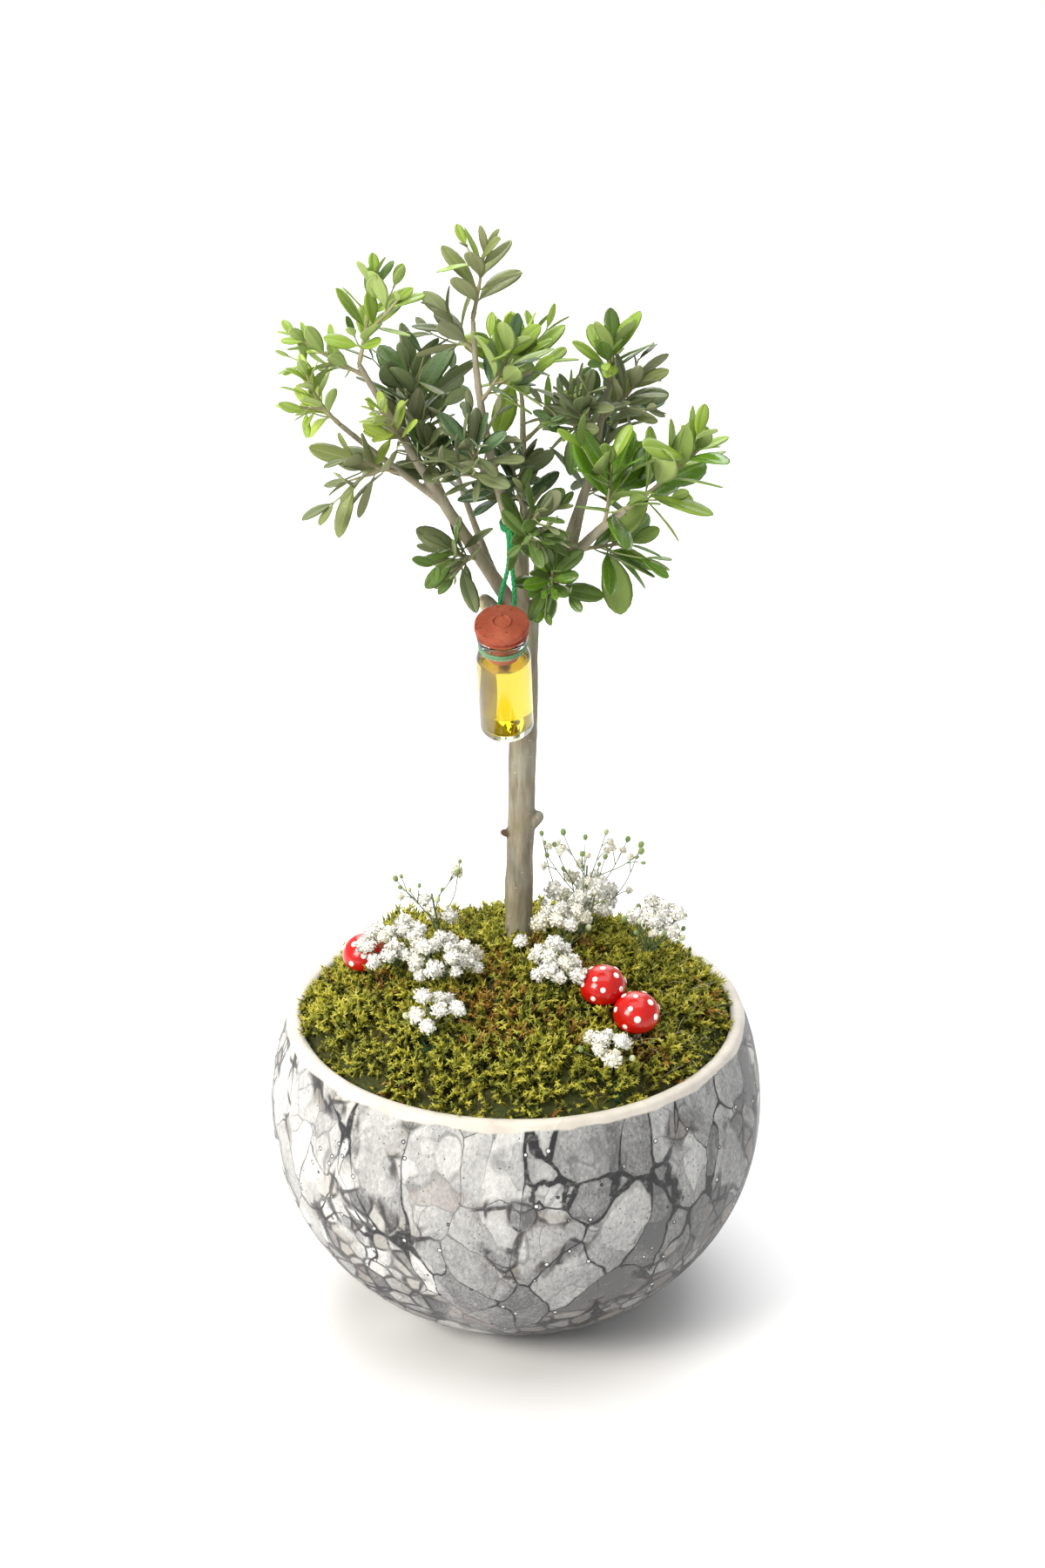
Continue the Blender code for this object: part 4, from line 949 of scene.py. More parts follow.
def moss_height(radius):
    """Height of the moss at a distance from the bowl's axis."""
    share = min(radius / bowl_radius(MOSS_EDGE_Z, WALL), 1.0)
    return MOSS_EDGE_Z + (MOSS_TOP_Z - MOSS_EDGE_Z) * (1 - share * share) ** MOSS_DOME


def moss_point(x, y, lift=0.0):
    return Vector((x, y, moss_height(math.hypot(x, y)) + lift))


def moss_lumps(x, y):
    """How far the cushion's lumps rise and sink."""
    broad = 0.0030 * noise.noise(Vector((x, y, 0.0)) / 0.013)
    return broad + 0.0009 * noise.noise(Vector((x, y, 1.0)) / 0.005)


def make_moss_ground(materials):
    """The cushion under the shoots."""
    radius = bowl_radius(MOSS_EDGE_Z, WALL) - 2 * GAP
    rows = 44
    profile = [(0.0, moss_height(0.0))]
    for i in range(1, rows + 1):
        r = radius * math.sin(math.pi / 2 * i / rows)
        profile.append((r, moss_height(r)))
    profile += [(bowl_radius(SOIL_EDGE_Z, WALL) - 2 * GAP, SOIL_EDGE_Z + GAP), (0.0, SOIL_EDGE_Z + GAP)]
    points, faces = turned(profile, BOWL_STEPS)
    for point in points:
        if point[2] > MOSS_EDGE_Z + GAP:
            point[2] += moss_lumps(point[0], point[1]) - 0.0012
    heap = Heap()
    heap.add(points, faces)
    ground = heap.build("moss_ground", [materials["moss_ground"]])
    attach(ground, "root")
    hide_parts("moss")


def moss_shape(rng):
    """One knobby curled shoot with small pointed leaflets, about 1 long."""
    pieces = 5
    turn = rng.uniform(-0.9, 0.9)
    curl = rng.uniform(-1.1, 0.5)
    path = [np.zeros(3)]
    for i in range(pieces):
        share = (i + 0.5) / pieces
        pitch = 0.35 + curl * share
        yaw = turn * share
        step = np.array([math.sin(yaw) * math.cos(pitch), math.cos(yaw) * math.cos(pitch), math.sin(pitch)])
        path.append(path[-1] + step / pieces)
    radii = []
    for i in range(pieces + 1):
        share = i / pieces
        knob = 1.22 if i % 2 else 0.80
        girth = 0.75 + 0.5 * math.sin(math.pi * min(share * 1.1, 1.0))
        radii.append(0.088 * knob * girth * (1 - share ** 5))
    points, faces = swept(path, np.maximum(radii, 0.02), 3)
    heap = [(points, faces)]
    ahead, side, upper = carried_frames(np.array(path))
    for i in range(1, pieces):
        for turn_angle in (0.4 + 2.4 * i, 3.5 + 2.4 * i):
            out = side[i] * math.cos(turn_angle) + upper[i] * math.sin(turn_angle)
            root = path[i] + out * radii[i] * 0.6
            tip = root + out * 0.15 + ahead[i] * 0.17
            width = np.cross(out, ahead[i]) * 0.055
            corners = [root - width, root + width, root + ahead[i] * 0.09 + out * 0.02, tip]
            heap.append(convex(corners, [(0, 1, 3, 3), (1, 2, 3, 3), (2, 0, 3, 3), (0, 2, 1, 1)]))
    return heap


def joined(shapes):
    """Several shapes as one."""
    points, faces, count = [], [], 0
    for some, rows in shapes:
        points.append(some)
        faces.append(np.asarray(rows) + count)
        count += len(some)
    return np.concatenate(points), np.concatenate(faces)


RUST_PATCH = ((0.006, -0.018), 0.040)  # middle and reach of the part of the cushion that is mostly rust
RUST_LEVELS = (0.16, 0.52)  # how high the patches' noise is where shoots are rust, in that part and elsewhere
DEEP_SHARE = 0.42
SHOOT_LENGTH = (0.0064, 0.0106)
EDGE_BAND = 0.86  # share of the radius beyond which shoots get shorter
EDGE_SHORTER = 0.45
EDGE_FLAT = 0.93  # share of the radius beyond which they lie flatter


def shoot_kind(x, y, rng):
    """A shoot's colour: rust in patches, and deep or bright elsewhere."""
    patch = noise.noise(Vector((x, y, 5.0)) / 0.020) + 0.35 * rng.uniform(-1, 1)
    (middle_x, middle_y), reach = RUST_PATCH
    centre = math.hypot(x - middle_x, y - middle_y) < reach
    if patch > RUST_LEVELS[0 if centre else 1]:
        return "rust"
    return "deep" if rng.random() < DEEP_SHARE else "bright"


def shoot_axes(x, y, radius, edge, rng):
    """The side, direction and upper vector of a shoot, each as long as the shoot."""
    taller = noise.noise(Vector((x, y, 9.0)) / 0.016)
    length = rng.uniform(*SHOOT_LENGTH) * (1 + 0.5 * taller)
    length *= 1 - EDGE_SHORTER * max(0.0, radius / edge - EDGE_BAND) / 0.14
    normal = Vector((x, y, 0.0)) * (0.9 * radius / edge ** 2) + UP
    towards = heading(math.degrees(rng.uniform(0, 2 * math.pi)), 90.0)
    lift = (rng.uniform(0.1, 1.3) + max(0.0, taller)) * (0.4 if radius > EDGE_FLAT * edge else 1.0)
    ahead = (towards + normal.normalized() * lift).normalized()
    side = ahead.cross(normal).normalized()
    upper = side.cross(ahead)
    return np.array([side * length, ahead * length, upper * length]).T


def kept_inside(points, edge):
    """Points drawn in to the bowl's wall; those over the rim may reach a little further."""
    reach = np.hypot(points[:, 0], points[:, 1])
    over = reach - edge - np.where(points[:, 2] < POT_HEIGHT + 0.0010, 0.0010, 0.0026)
    slack = np.maximum(over, 0.0)[:, None]
    points[:, :2] -= slack * points[:, :2] / np.maximum(reach, 1e-6)[:, None]
    return points


def make_moss_shoots(materials):
    """Curled shoots all over the cushion, in three colours, each darker at its foot."""
    rng = random.Random(71)
    shapes = [joined(moss_shape(rng)) for _ in range(MOSS_SHAPES)]
    heaps = {name: Heap() for name in MOSS_KINDS}
    edge = bowl_radius(MOSS_EDGE_Z, WALL) - 0.0012
    for i in range(MOSS_SHOOTS):
        radius = edge * math.sqrt((i + 0.5) / MOSS_SHOOTS)
        angle = i * math.radians(GOLDEN_ANGLE) + rng.uniform(-0.2, 0.2)
        x, y = radius * math.cos(angle), radius * math.sin(angle)
        kind = shoot_kind(x, y, rng)
        axes = shoot_axes(x, y, radius, edge, rng)
        foot = moss_point(x, y, moss_lumps(x, y) - 0.0016 - (0.0008 if kind == "rust" else 0.0))
        points, faces = shapes[i % MOSS_SHAPES]
        heights = points[faces[:, 0], 1]
        slots = np.where(heights < 0.42, 0, np.where(heights < 0.75, 1, 2))
        heaps[kind].add(kept_inside(points @ axes.T + np.array(foot), edge), faces, slots)
    for kind, heap in heaps.items():
        colours = [materials[f"moss_{kind}_{part}"] for part in ("foot", "mid", "tip")]
        piece = heap.build(f"moss_{kind}", colours)
        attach(piece, "root")


# ================================================================ trunk and boughs
def limb_radii(limb, shares, path):
    """Radius at shares of a limb; the trunk's foot flares."""
    radii = limb.foot + (limb.tip - limb.foot) * shares
    if not limb.parent:
        rise = path[:, 2] - TRUNK_FOOT.z
        radii = radii + ROOT_FLARE * np.maximum(0.0, 1 - rise / FLARE_HEIGHT) ** 2
    return radii


def bark_tube(path, radii, sides, seed, depth):
    """A limb's tube with ridges that run along it and a slow change of girth."""
    rows = len(path)
    made = np.empty((rows, sides))
    reach = np.cumsum(np.linalg.norm(np.diff(path, axis=0, prepend=path[:1]), axis=1))
    for i in range(rows):
        for j in range(sides):
            angle = 2 * math.pi * j / sides
            ridge = Vector((2.2 * math.cos(angle), 2.2 * math.sin(angle), reach[i] / 0.016 + seed * 7.3))
            swell = Vector((0.4 * math.cos(angle), 0.4 * math.sin(angle), reach[i] / 0.013 + seed * 3.1))
            made[i, j] = radii[i] * (1 + depth * noise.noise(ridge) + 0.07 * noise.noise(swell))
    return swept(path, made, sides)


def ball_shape(place, radius, rows=7, sides=12, axis=UP, squash=1.0):
    """A smooth ball, its axis along axis and squashed along it."""
    profile = [(0.0, squash * radius)]
    for i in range(1, rows):
        angle = math.pi * i / rows
        profile.append((radius * math.sin(angle), squash * radius * math.cos(angle)))
    profile.append((0.0, -squash * radius))
    points, faces = turned(profile, sides)
    return moved(points, placed(Vector(place), axis)), faces


BARK_VOXEL = 0.00052
BARK_GRAIN = (0.0011, 0.0011, 0.0042)  # size of the grain's waves across and along the stem
BARK_GRAIN_DEPTH = 0.00012


def add_limbs(heap, paths):
    """Trunk and boughs, each bough with a collar where it leaves its parent."""
    for seed, (name, limb) in enumerate({"trunk": TRUNK, **LIMBS}.items()):
        path = smooth_path(paths[name], 18)
        shares = np.linspace(0.0, 1.0, len(path))
        radii = limb_radii(limb, shares, path)
        sides, depth = (16, 0.06) if limb.parent else (30, 0.085)
        if limb.parent:
            radii = radii + 0.35 * limb.foot * np.exp(-shares * limb.length / (1.5 * limb.foot))
        heap.add(*bark_tube(path, radii, sides, seed, depth))
        if limb.parent:
            heap.add(*ball_shape(path[0], limb.foot * 1.12))


def add_stubs(heap, paths):
    """The pruned twigs' stumps."""
    for seed, stub in enumerate(STUBS):
        foot = along(paths["trunk"], stub.height / TRUNK.length)[0]
        path = smooth_path(arc_path(foot, stub.azimuth, stub.lean, 0.0, stub.length, 2), 12)
        radii = np.linspace(stub.foot, stub.tip, len(path))
        radii[-1] *= 0.8
        heap.add(*bark_tube(path, radii, 16, seed + 40, 0.10))
        heap.add(*ball_shape(path[-1], 0.94 * stub.tip))


def fused(heap, voxel):
    """A heap's shapes grown into one closed mesh."""
    rough = heap.build("bark_rough", [])
    remesh = rough.modifiers.new("fuse", "REMESH")
    remesh.mode = "VOXEL"
    remesh.voxel_size = voxel
    soften = rough.modifiers.new("soften", "SMOOTH")
    soften.iterations = 2
    bpy.context.view_layer.update()
    mesh = bpy.data.meshes.new_from_object(rough.evaluated_get(bpy.context.evaluated_depsgraph_get()))
    bpy.data.objects.remove(rough)
    return mesh


def add_grain(mesh):
    """Fine waves along the stem, in the mesh itself."""
    points = np.empty(3 * len(mesh.vertices))
    normals = np.empty_like(points)
    mesh.vertices.foreach_get("co", points)
    mesh.vertices.foreach_get("normal", normals)
    points, normals = points.reshape(-1, 3), normals.reshape(-1, 3)
    a, b, c = BARK_GRAIN
    lift = np.array([noise.noise(Vector((x / a, y / b, z / c))) for x, y, z in points])
    points += normals * (BARK_GRAIN_DEPTH * lift)[:, None]
    mesh.vertices.foreach_set("co", points.ravel())


def make_bark(paths, materials):
    """Trunk, stubs and boughs grown together, with their relief in the mesh."""
    heap = Heap()
    add_limbs(heap, paths)
    add_stubs(heap, paths)
    mesh = fused(heap, BARK_VOXEL)
    add_grain(mesh)
    mesh.materials.append(materials["bark"])
    mesh.polygons.foreach_set("use_smooth", [True] * len(mesh.polygons))
    mesh.name = "bark_tree"
    bark = bpy.data.objects.new("bark_tree", mesh)
    bpy.context.scene.collection.objects.link(bark)
    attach(bark, "root")
    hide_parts("trunk", *LIMBS)


# ================================================================ foliage
def leaf_solid(root, direction, normal, length, margin=0.0):
    """The solids' four-sided leaf, as a search tree."""
    half_width = LEAF_WIDTH * length / 2 + margin
    half_thickness = LEAF_THICKNESS * length / 2 + margin
    side = direction.cross(normal)
    points = []
    for x, y, z in ((0, -1, 0), (1, 0, 0), (0, 1, 0), (-1, 0, 0), (0, 0, 1), (0, 0, -1)):
        share = (1 + y) / 2
        rise = z * half_thickness - LEAF_DROOP * length * share * share
        ahead = direction * (share * length + margin * y)
        points.append(root + ahead + side * (x * half_width) + normal * rise)
    faces = [(0, 1, 4), (1, 2, 4), (2, 3, 4), (3, 0, 4), (1, 0, 5), (2, 1, 5), (3, 2, 5), (0, 3, 5)]
    return BVHTree.FromPolygons(points, faces)


def leaf_frame(direction, angle, spread, roll):
    """The direction of a leaf that stands off a twig at a spread, and its upper side's normal."""
    radial = across(direction, angle)
    leaf = direction * math.cos(math.radians(spread)) + radial * math.sin(math.radians(spread))
    normal = direction + UP * FACING_UP
    normal = (normal - leaf * normal.dot(leaf)).normalized()
    return leaf, Quaternion(leaf, math.radians(roll)) @ normal


class Spray(NamedTuple):
    """What a mass grows by: its stem, what it has and what it must keep clear of."""

    stem: list
    leaf: float
    own: list
    taken: list
    leaves: list
    twigs: list


def place_leaf(twig, share, angle, spread, roll, length, spray):
    """Adds a leaf to the spray where one fits, and leaves it out otherwise."""
    foot, direction = along(twig, share)
    for turn, opening in LEAF_TRIES:
        leaf, normal = leaf_frame(direction, angle + turn, spread + opening, roll)
        root = foot - leaf * LEAF_SUNK
        if distance_to_path(root + leaf * length, spray.stem) > SPACE * spray.leaf:
            continue
        trial = leaf_solid(root + leaf * LEAF_SUNK, leaf, normal, length, LEAF_CLEAR)
        if touches(trial, spray.taken):
            continue
        outer = leaf_solid(root + leaf * (LEAF_BASE * length), leaf, normal, (1 - LEAF_BASE) * length)
        if touches(outer, spray.own):
            continue
        spray.own.append(leaf_solid(root, leaf, normal, length))
        spray.leaves.append((root, leaf, normal, length))
        return True
    return False


def leaf_length(longest, share):
    """Leaves are longest below the middle of a twig and half as long at its tip."""
    return longest * (0.82 + 0.75 * share - 1.05 * share * share)


def grow_leaves(twig, pairs, longest, phase, rng, spray):
    """Opposite pairs of leaves up a twig, each pair a quarter turn on from the last."""
    for i in range(pairs):
        share = FIRST_PAIR + (1 - FIRST_PAIR) * i / (pairs - 1)
        spread = OPEN_SPREAD - (OPEN_SPREAD - TIP_SPREAD) * share + rng.uniform(-SPREAD_JITTER, SPREAD_JITTER)
        for side in (0, 180):
            angle = phase + 90 * i + side + rng.uniform(-TURN_JITTER, TURN_JITTER)
            roll = rng.uniform(-ROLL_JITTER, ROLL_JITTER)
            length = leaf_length(longest, share) * rng.uniform(0.86, 1.06)
            place_leaf(twig, min(share, LAST_PAIR), angle, spread, roll, length, spray)


def twig_tree(path, radii):
    return tree_of(*swept([tuple(point) for point in path], radii, 4))


def grow_twigs(mass, rng, spray):
    """Side twigs with smaller leaves."""
    for i in range(mass.twigs):
        share = FIRST_TWIG + TWIG_STEP * i
        foot, direction = along(spray.stem, share)
        angle = mass.phase + 45 + 180 * i + rng.uniform(-TURN_JITTER, TURN_JITTER)
        out = leaf_frame(direction, angle, rng.uniform(38, 52), 0.0)[0]
        length = mass.length * TWIG_SHARE * rng.uniform(0.85, 1.1)
        path = [foot, foot + out * (length / 2), foot + (out + direction * TWIG_CURVE) * length]
        tree = twig_tree(path, (TWIG_RADIUS, TWIG_RADIUS, TIP_RADIUS))
        if touches(tree, spray.taken):
            continue
        spray.own.append(tree)
        spray.twigs.append((path, TWIG_RADIUS, TIP_RADIUS))
        grow_leaves(path, TWIG_PAIRS, mass.leaf * TWIG_LEAF, mass.phase + TWIG_PHASE, rng, spray)


def grow_fine(mass, rng, spray):
    """Finer twigs out of the axils, each with a few small leaves, inside the mass's own reach."""
    bearers = [spray.stem, *[path for path, _, _ in spray.twigs]]
    for i in range(mass.fine):
        bearer = bearers[i % len(bearers)] if i % 3 else bearers[0]
        share = FINE_FIRST + (FINE_LAST - FINE_FIRST) * (i + rng.random()) / mass.fine
        foot, direction = along(bearer, share)
        angle = mass.phase + GOLDEN_ANGLE * i + rng.uniform(-TURN_JITTER, TURN_JITTER)
        for turn in (0, 40, -40, 90, -90, 140):
            out = leaf_frame(direction, angle + turn, rng.uniform(36, 58), 0.0)[0]
            length = mass.leaf * rng.uniform(*FINE_LENGTH)
            path = [foot, foot + out * (length / 2), foot + (out + direction * 2 * TWIG_CURVE) * length]
            if distance_to_path(path[-1], spray.stem) > (SPACE - 0.25) * mass.leaf:
                continue
            beyond = [foot.lerp(path[1], 0.25), *path[1:]]
            if touches(twig_tree(beyond, (FINE_RADIUS,) * 3), spray.taken + spray.own):
                continue
            first = len(spray.leaves)
            leaf = mass.leaf * rng.uniform(*FINE_LEAF)
            grow_leaves(path, FINE_PAIRS, leaf, mass.phase + 60.0 * i, rng, spray)
            if len(spray.leaves) > first:
                spray.twigs.append((path, FINE_RADIUS, 0.6 * FINE_RADIUS))
                spray.own.append(twig_tree(beyond, (FINE_RADIUS,) * 3))
                break


def opened(root, leaf, normal, length, fuller, obstacles):
    """A leaf at its full size, or at the solid's size where it would touch the limbs or the vial."""
    blade = root + leaf * (LEAF_BASE * length)
    for size in fuller:
        solid = leaf_solid(blade, leaf, normal, (size - LEAF_BASE) * length, LEAF_CLEAR)
        if not touches(solid, obstacles):
            return root, leaf, normal, size * length
    return root, leaf, normal, length


def grow_masses(paths, obstacles):
    """Every mass as its stem, twigs and leaves."""
    sprays = {}
    trees = {}
    for name, mass in MASSES.items():
        foot = along(paths[mass.limb], mass.share)[0]
        path = arc_path(foot, mass.azimuth, mass.lean, mass.bend, mass.length, STEM_PIECES)
        radii = np.linspace(STEM_RADIUS, TIP_RADIUS, len(path))
        sprays[name] = Spray(path, mass.leaf, [], [], [], [])
        trees[name] = [twig_tree(path, radii)]
    for step in ("coarse", "fine"):
        for name, mass in MASSES.items():
            spray = sprays[name]
            spray.taken.clear()
            spray.taken.extend(obstacles)
            for other, known in trees.items():
                if other != name:
                    spray.taken.extend(known)
            if step == "coarse":
                rng = random.Random(mass.seed)
                grow_leaves(spray.stem, mass.pairs, mass.leaf, mass.phase, rng, spray)
                grow_twigs(mass, rng, spray)
            else:
                grow_fine(mass, random.Random(mass.seed + 500), spray)
            trees[name] = [trees[name][0], *spray.own]
    for name, spray in sprays.items():
        fuller = () if name == "foliage_centre_base" else FULLER[MASSES[name].tint]
        spray.leaves[:] = [opened(*leaf, fuller, obstacles) for leaf in spray.leaves]
    return sprays


def blade_width(share):
    """A leaf's half width along it: a thin stalk, then an ellipse that is fullest past its middle."""
    u = np.clip((share - PETIOLE_SHARE) / (1 - PETIOLE_SHARE), 0.0, 1.0) ** 1.10
    full = (1 - np.abs(2 * u - 1) ** np.where(u < 0.5, 1.9, 2.5)) ** np.where(u < 0.5, 0.85, 0.60)
    return np.maximum(full, np.where(share < 0.5, 0.085, 0.03))


def blade_points(length, width, rng):
    """A leaf's points: x across, y along, z over it. It arches, folds along its rib and twists."""
    shares = np.concatenate([[0.0, PETIOLE_SHARE * 0.9],
                             PETIOLE_SHARE + (1 - PETIOLE_SHARE)
                             * (1 - np.cos(np.linspace(0.06, 1.0, BLADE_ROWS - 2) * math.pi)) / 2])
    half = blade_width(shares) * BLADE_WIDTH * width * length / 2 * rng.uniform(0.9, 1.10)
    half[:2] = 0.00042
    lines = np.array(BLADE_LINES)
    fold = rng.uniform(0.05, 0.30)
    droop = LEAF_DROOP * length * rng.uniform(0.3, 1.9)
    sweep = length * rng.uniform(-0.05, 0.05)
    twist = rng.uniform(-0.35, 0.35)
    wave = rng.uniform(0.0, 0.05) * half.max()
    x = half[:, None] * lines
    z = fold * np.abs(x) - 0.16 * half[:, None] * lines ** 4
    z = z + wave * np.sin(9.0 * shares[:, None] + 3.0 * lines) * np.abs(lines)
    groove = np.where(np.abs(lines) < 0.1, 0.00016, 0.0) * np.where(shares > PETIOLE_SHARE, 1.0, 0.0)[:, None]
    angle = twist * shares[:, None]
    x, z = x * np.cos(angle) - z * np.sin(angle), x * np.sin(angle) + z * np.cos(angle)
    x = x + sweep * shares[:, None] ** 2
    z = z - droop * shares[:, None] ** 2
    y = np.broadcast_to(shares[:, None] * length, x.shape)
    upper = np.stack([x, y, z - groove], axis=-1)
    thickness = BLADE_THICKNESS + np.where(np.abs(lines) < 0.1, 0.00022, 0.0)
    lower = np.stack([x, y, z - thickness], axis=-1)[1:-1, 1:-1]
    return np.vstack([upper.reshape(-1, 3), lower.reshape(-1, 3)])


def blade_slots():
    """Upper side, its rib and the stalk, and the under side, as material numbers."""
    rows = BLADE_ROWS - 1
    columns = len(BLADE_LINES) - 1
    upper = np.zeros((rows, columns), dtype=int)
    upper[:, columns // 2] = 1
    upper[0] = 1
    lower = np.full((rows, columns), 2)
    lower[0] = 1
    return np.concatenate([upper.ravel(), lower.ravel()])


TONES = {  # upper side, under side, rib, gloss, width
    "lime": ("A8BE4E", "B3C17C", "BFCD78", 0.40, 1.04),
    "bright": ("8AA63A", "9DB068", "A5BC5E", 0.40, 1.08),
    "glossy": ("5C8420", "829850", "82A048", 0.26, 1.14),
    "olive": ("7D884A", "8C9068", "939D68", 0.42, 0.98),
    "grey": ("727D52", "8A8E6C", "8A946E", 0.44, 0.92),
    "green": ("5B7632", "828C5A", "769050", 0.34, 1.04),
    "dark": ("5A753C", "7D8A62", "6C8A58", 0.32, 1.00),
    "deep": ("55704A", "768468", "638060", 0.30, 0.96),
}
SPRAY_TONES = {
    "foliage_left_top": ("bright", "green"), "foliage_left_far": ("bright", "lime"),
    "foliage_left_tip": ("bright", "lime"), "foliage_left_shoot": ("lime", "bright"),
    "foliage_left_under": ("olive", "grey"), "foliage_left_back": ("grey", "dark"),
    "foliage_inner": ("dark", "grey"), "foliage_inner_front": ("grey", "dark"),
    "foliage_crown_top": ("olive", "bright"), "foliage_crown_left": ("grey", "olive"),
    "foliage_crown_right": ("bright", "deep"), "foliage_centre_front": ("grey", "deep"),
    "foliage_centre_base": ("green", "grey"), "foliage_back_top": ("bright", "lime"),
    "foliage_back_mid": ("deep", "grey"), "foliage_back_twig": ("bright", "green"),
    "foliage_back_left": ("dark", "grey"), "foliage_back_right": ("deep", "olive"),
    "foliage_right_top": ("bright", "green"), "foliage_right_side": ("grey", "olive"),
    "foliage_right_mid": ("grey", "dark"), "foliage_right_back": ("grey", "deep"),
    "foliage_right_front": ("glossy", "bright"), "foliage_right_tip": ("bright", "glossy"),
    "foliage_right_under": ("glossy", "green"), "foliage_fork": ("green", "glossy"),
    "foliage_left_base": ("grey", "green"),
}
SECOND_TONE = 0.28  # share of a spray's leaves in its second tone


def make_leaves(sprays, materials):
    """All leaves, a piece for each age, and each spray in its own two tones."""
    faces = closed_sheet(BLADE_ROWS, len(BLADE_LINES))
    slots = blade_slots()
    for tint in ("young", "grown", "old"):
        heap = Heap()
        names = [name for name, mass in MASSES.items() if mass.tint == tint]
        tones = sorted({tone for name in names for tone in SPRAY_TONES[name]})
        for name in names:
            rng = random.Random(MASSES[name].seed + 900)
            for root, leaf, normal, length in sprays[name].leaves:
                side = leaf.cross(normal)
                matrix = np.array([side, leaf, normal]).T
                tone = SPRAY_TONES[name][rng.random() < SECOND_TONE]
                points = blade_points(length, TONES[tone][-1], rng) @ matrix.T + np.array(root)
                heap.add(points, faces, slots + 3 * tones.index(tone))
        paints = [materials[f"leaf_{tone}_{side}"] for tone in tones for side in ("upper", "rib", "under")]
        piece = heap.build(f"leaves_{tint}", paints)
        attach(piece, "root")
        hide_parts(*names)


def make_twigs(sprays, materials):
    """The stems and twigs that carry the leaves, a little swollen at each pair."""
    heap = Heap()
    for name, spray in sprays.items():
        stem = smooth_path(spray.stem, 7)
        shares = np.linspace(0.0, 1.0, len(stem))
        radii = STEM_RADIUS + (TIP_RADIUS - STEM_RADIUS) * shares
        radii = radii * (1 + 0.22 * np.abs(np.sin(shares * math.pi * MASSES[name].pairs)) ** 6)
        heap.add(*swept(stem, radii, 7), 0)
        for path, foot, tip in spray.twigs:
            twig = smooth_path(path, 5)
            heap.add(*swept(twig, np.linspace(foot, tip, len(twig)), 6), 1 if foot < TWIG_RADIUS else 0)
    piece = heap.build("twigs", [materials["twig"], materials["twig_fine"]])
    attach(piece, "root")


# ================================================================ the vial
def vial_matrix():
    return placed(VIAL_FOOT, heading(VIAL_AZIMUTH, VIAL_LEAN))


def glass_profile():
    """The vial's section: its inside up from the bottom, then its outside down."""
    side = VIAL_RADIUS - VIAL_WALL
    corners = [(0.0, VIAL_BASE + 0.0004), (side, VIAL_BASE - 0.0002), (side, VIAL_SHOULDER_Z - VIAL_WALL),
               (BORE_RADIUS, VIAL_NECK_Z - VIAL_WALL), (BORE_RADIUS, VIAL_TOP_Z),
               (VIAL_LIP_RADIUS, VIAL_TOP_Z), (VIAL_LIP_RADIUS, VIAL_LIP_Z),
               (VIAL_NECK_RADIUS, VIAL_LIP_Z), (VIAL_NECK_RADIUS, VIAL_NECK_Z),
               (VIAL_RADIUS, VIAL_SHOULDER_Z), (VIAL_RADIUS, 0.0), (0.0, 0.0006)]
    return rounded(corners, 0.0017, 6)


def oil_profile():
    """The oil fills the vial up to its shoulder, with a little air over it."""
    side = VIAL_RADIUS - VIAL_WALL + 0.00002
    corners = [(0.0, OIL_TOP_Z), (side - 0.0004, OIL_TOP_Z), (side, OIL_TOP_Z + 0.0003),
               (side, VIAL_BASE - 0.0002), (0.0, VIAL_BASE + 0.0004)]
    return rounded(corners, 0.0014, 6)


def stopper_profile():
    """A flat rubber-like disc with a raised ring on top, a groove round it and a tapered plug."""
    flange = VIAL_TOP_Z + GAP
    top = flange + STOPPER_HEIGHT
    plug = BORE_RADIUS - GAP
    return [(0.0, top + 0.0001), *rounded([
        (0.0, top + 0.0001), (0.0030, top - 0.0001), (0.0032, top + 0.00045), (0.0037, top + 0.00045),
        (0.0039, top - 0.0001), (STOPPER_RADIUS - 0.0002, top - 0.0005),
        (STOPPER_RADIUS + 0.0001, top - 0.0028), (STOPPER_RADIUS - 0.0010, top - 0.0032),
        (STOPPER_RADIUS - 0.0012, top - 0.0040), (STOPPER_RADIUS - 0.0003, top - 0.0043),
        (STOPPER_RADIUS - 0.0004, flange), (plug, flange), (plug - 0.0006, PLUG_FOOT_Z),
        (0.0, PLUG_FOOT_Z)], 0.0005, 4)[1:]]


def make_vial(materials):
    profiles = {"glass": glass_profile(), "oil": oil_profile(), "stopper": stopper_profile()}
    for name, profile in profiles.items():
        points, faces = turned(profile, VIAL_STEPS)
        # faces inside the glass take the plug's clay, painted brighter than the stopper as painted light
        inside = points[faces][:, :, 2].max(axis=1) < VIAL_TOP_Z + GAP / 2
        heap = Heap()
        stopper = name == "stopper"
        heap.add(moved(points, vial_matrix()), faces, inside * 1 if stopper else 0)
        used = [materials[name], materials["plug"]] if stopper else [materials[name]]
        piece = heap.build(f"vial_{name}_smooth", used)
        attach(piece, "root")
        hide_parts(f"vial_{name}")


def plied(heap, path, radius, pitch, plies=3, slot=0):
    """Thread laid up from strands that twist round each other along a path."""
    path = np.asarray(path)
    _, side, upper = carried_frames(path)
    reach = np.concatenate([[0.0], np.cumsum(np.linalg.norm(np.diff(path, axis=0), axis=1))])
    for ply in range(plies):
        turn = 2 * math.pi * (reach / pitch + ply / plies)
        offset = np.cos(turn)[:, None] * side + np.sin(turn)[:, None] * upper
        heap.add(*swept(path + offset * radius * 0.42, np.full(len(path), radius * 0.60), 6), slot)


def ring_path(matrix, major, turns, rise, steps, start=0.0):
    """A ring of several turns about a place's Z axis, each turn a little higher."""
    path = []
    for i in range(int(steps * turns) + 1):
        angle = start + 2 * math.pi * i / steps
        path.append(matrix @ Vector((major * math.cos(angle), major * math.sin(angle), rise * i / steps)))
    return [tuple(point) for point in path]


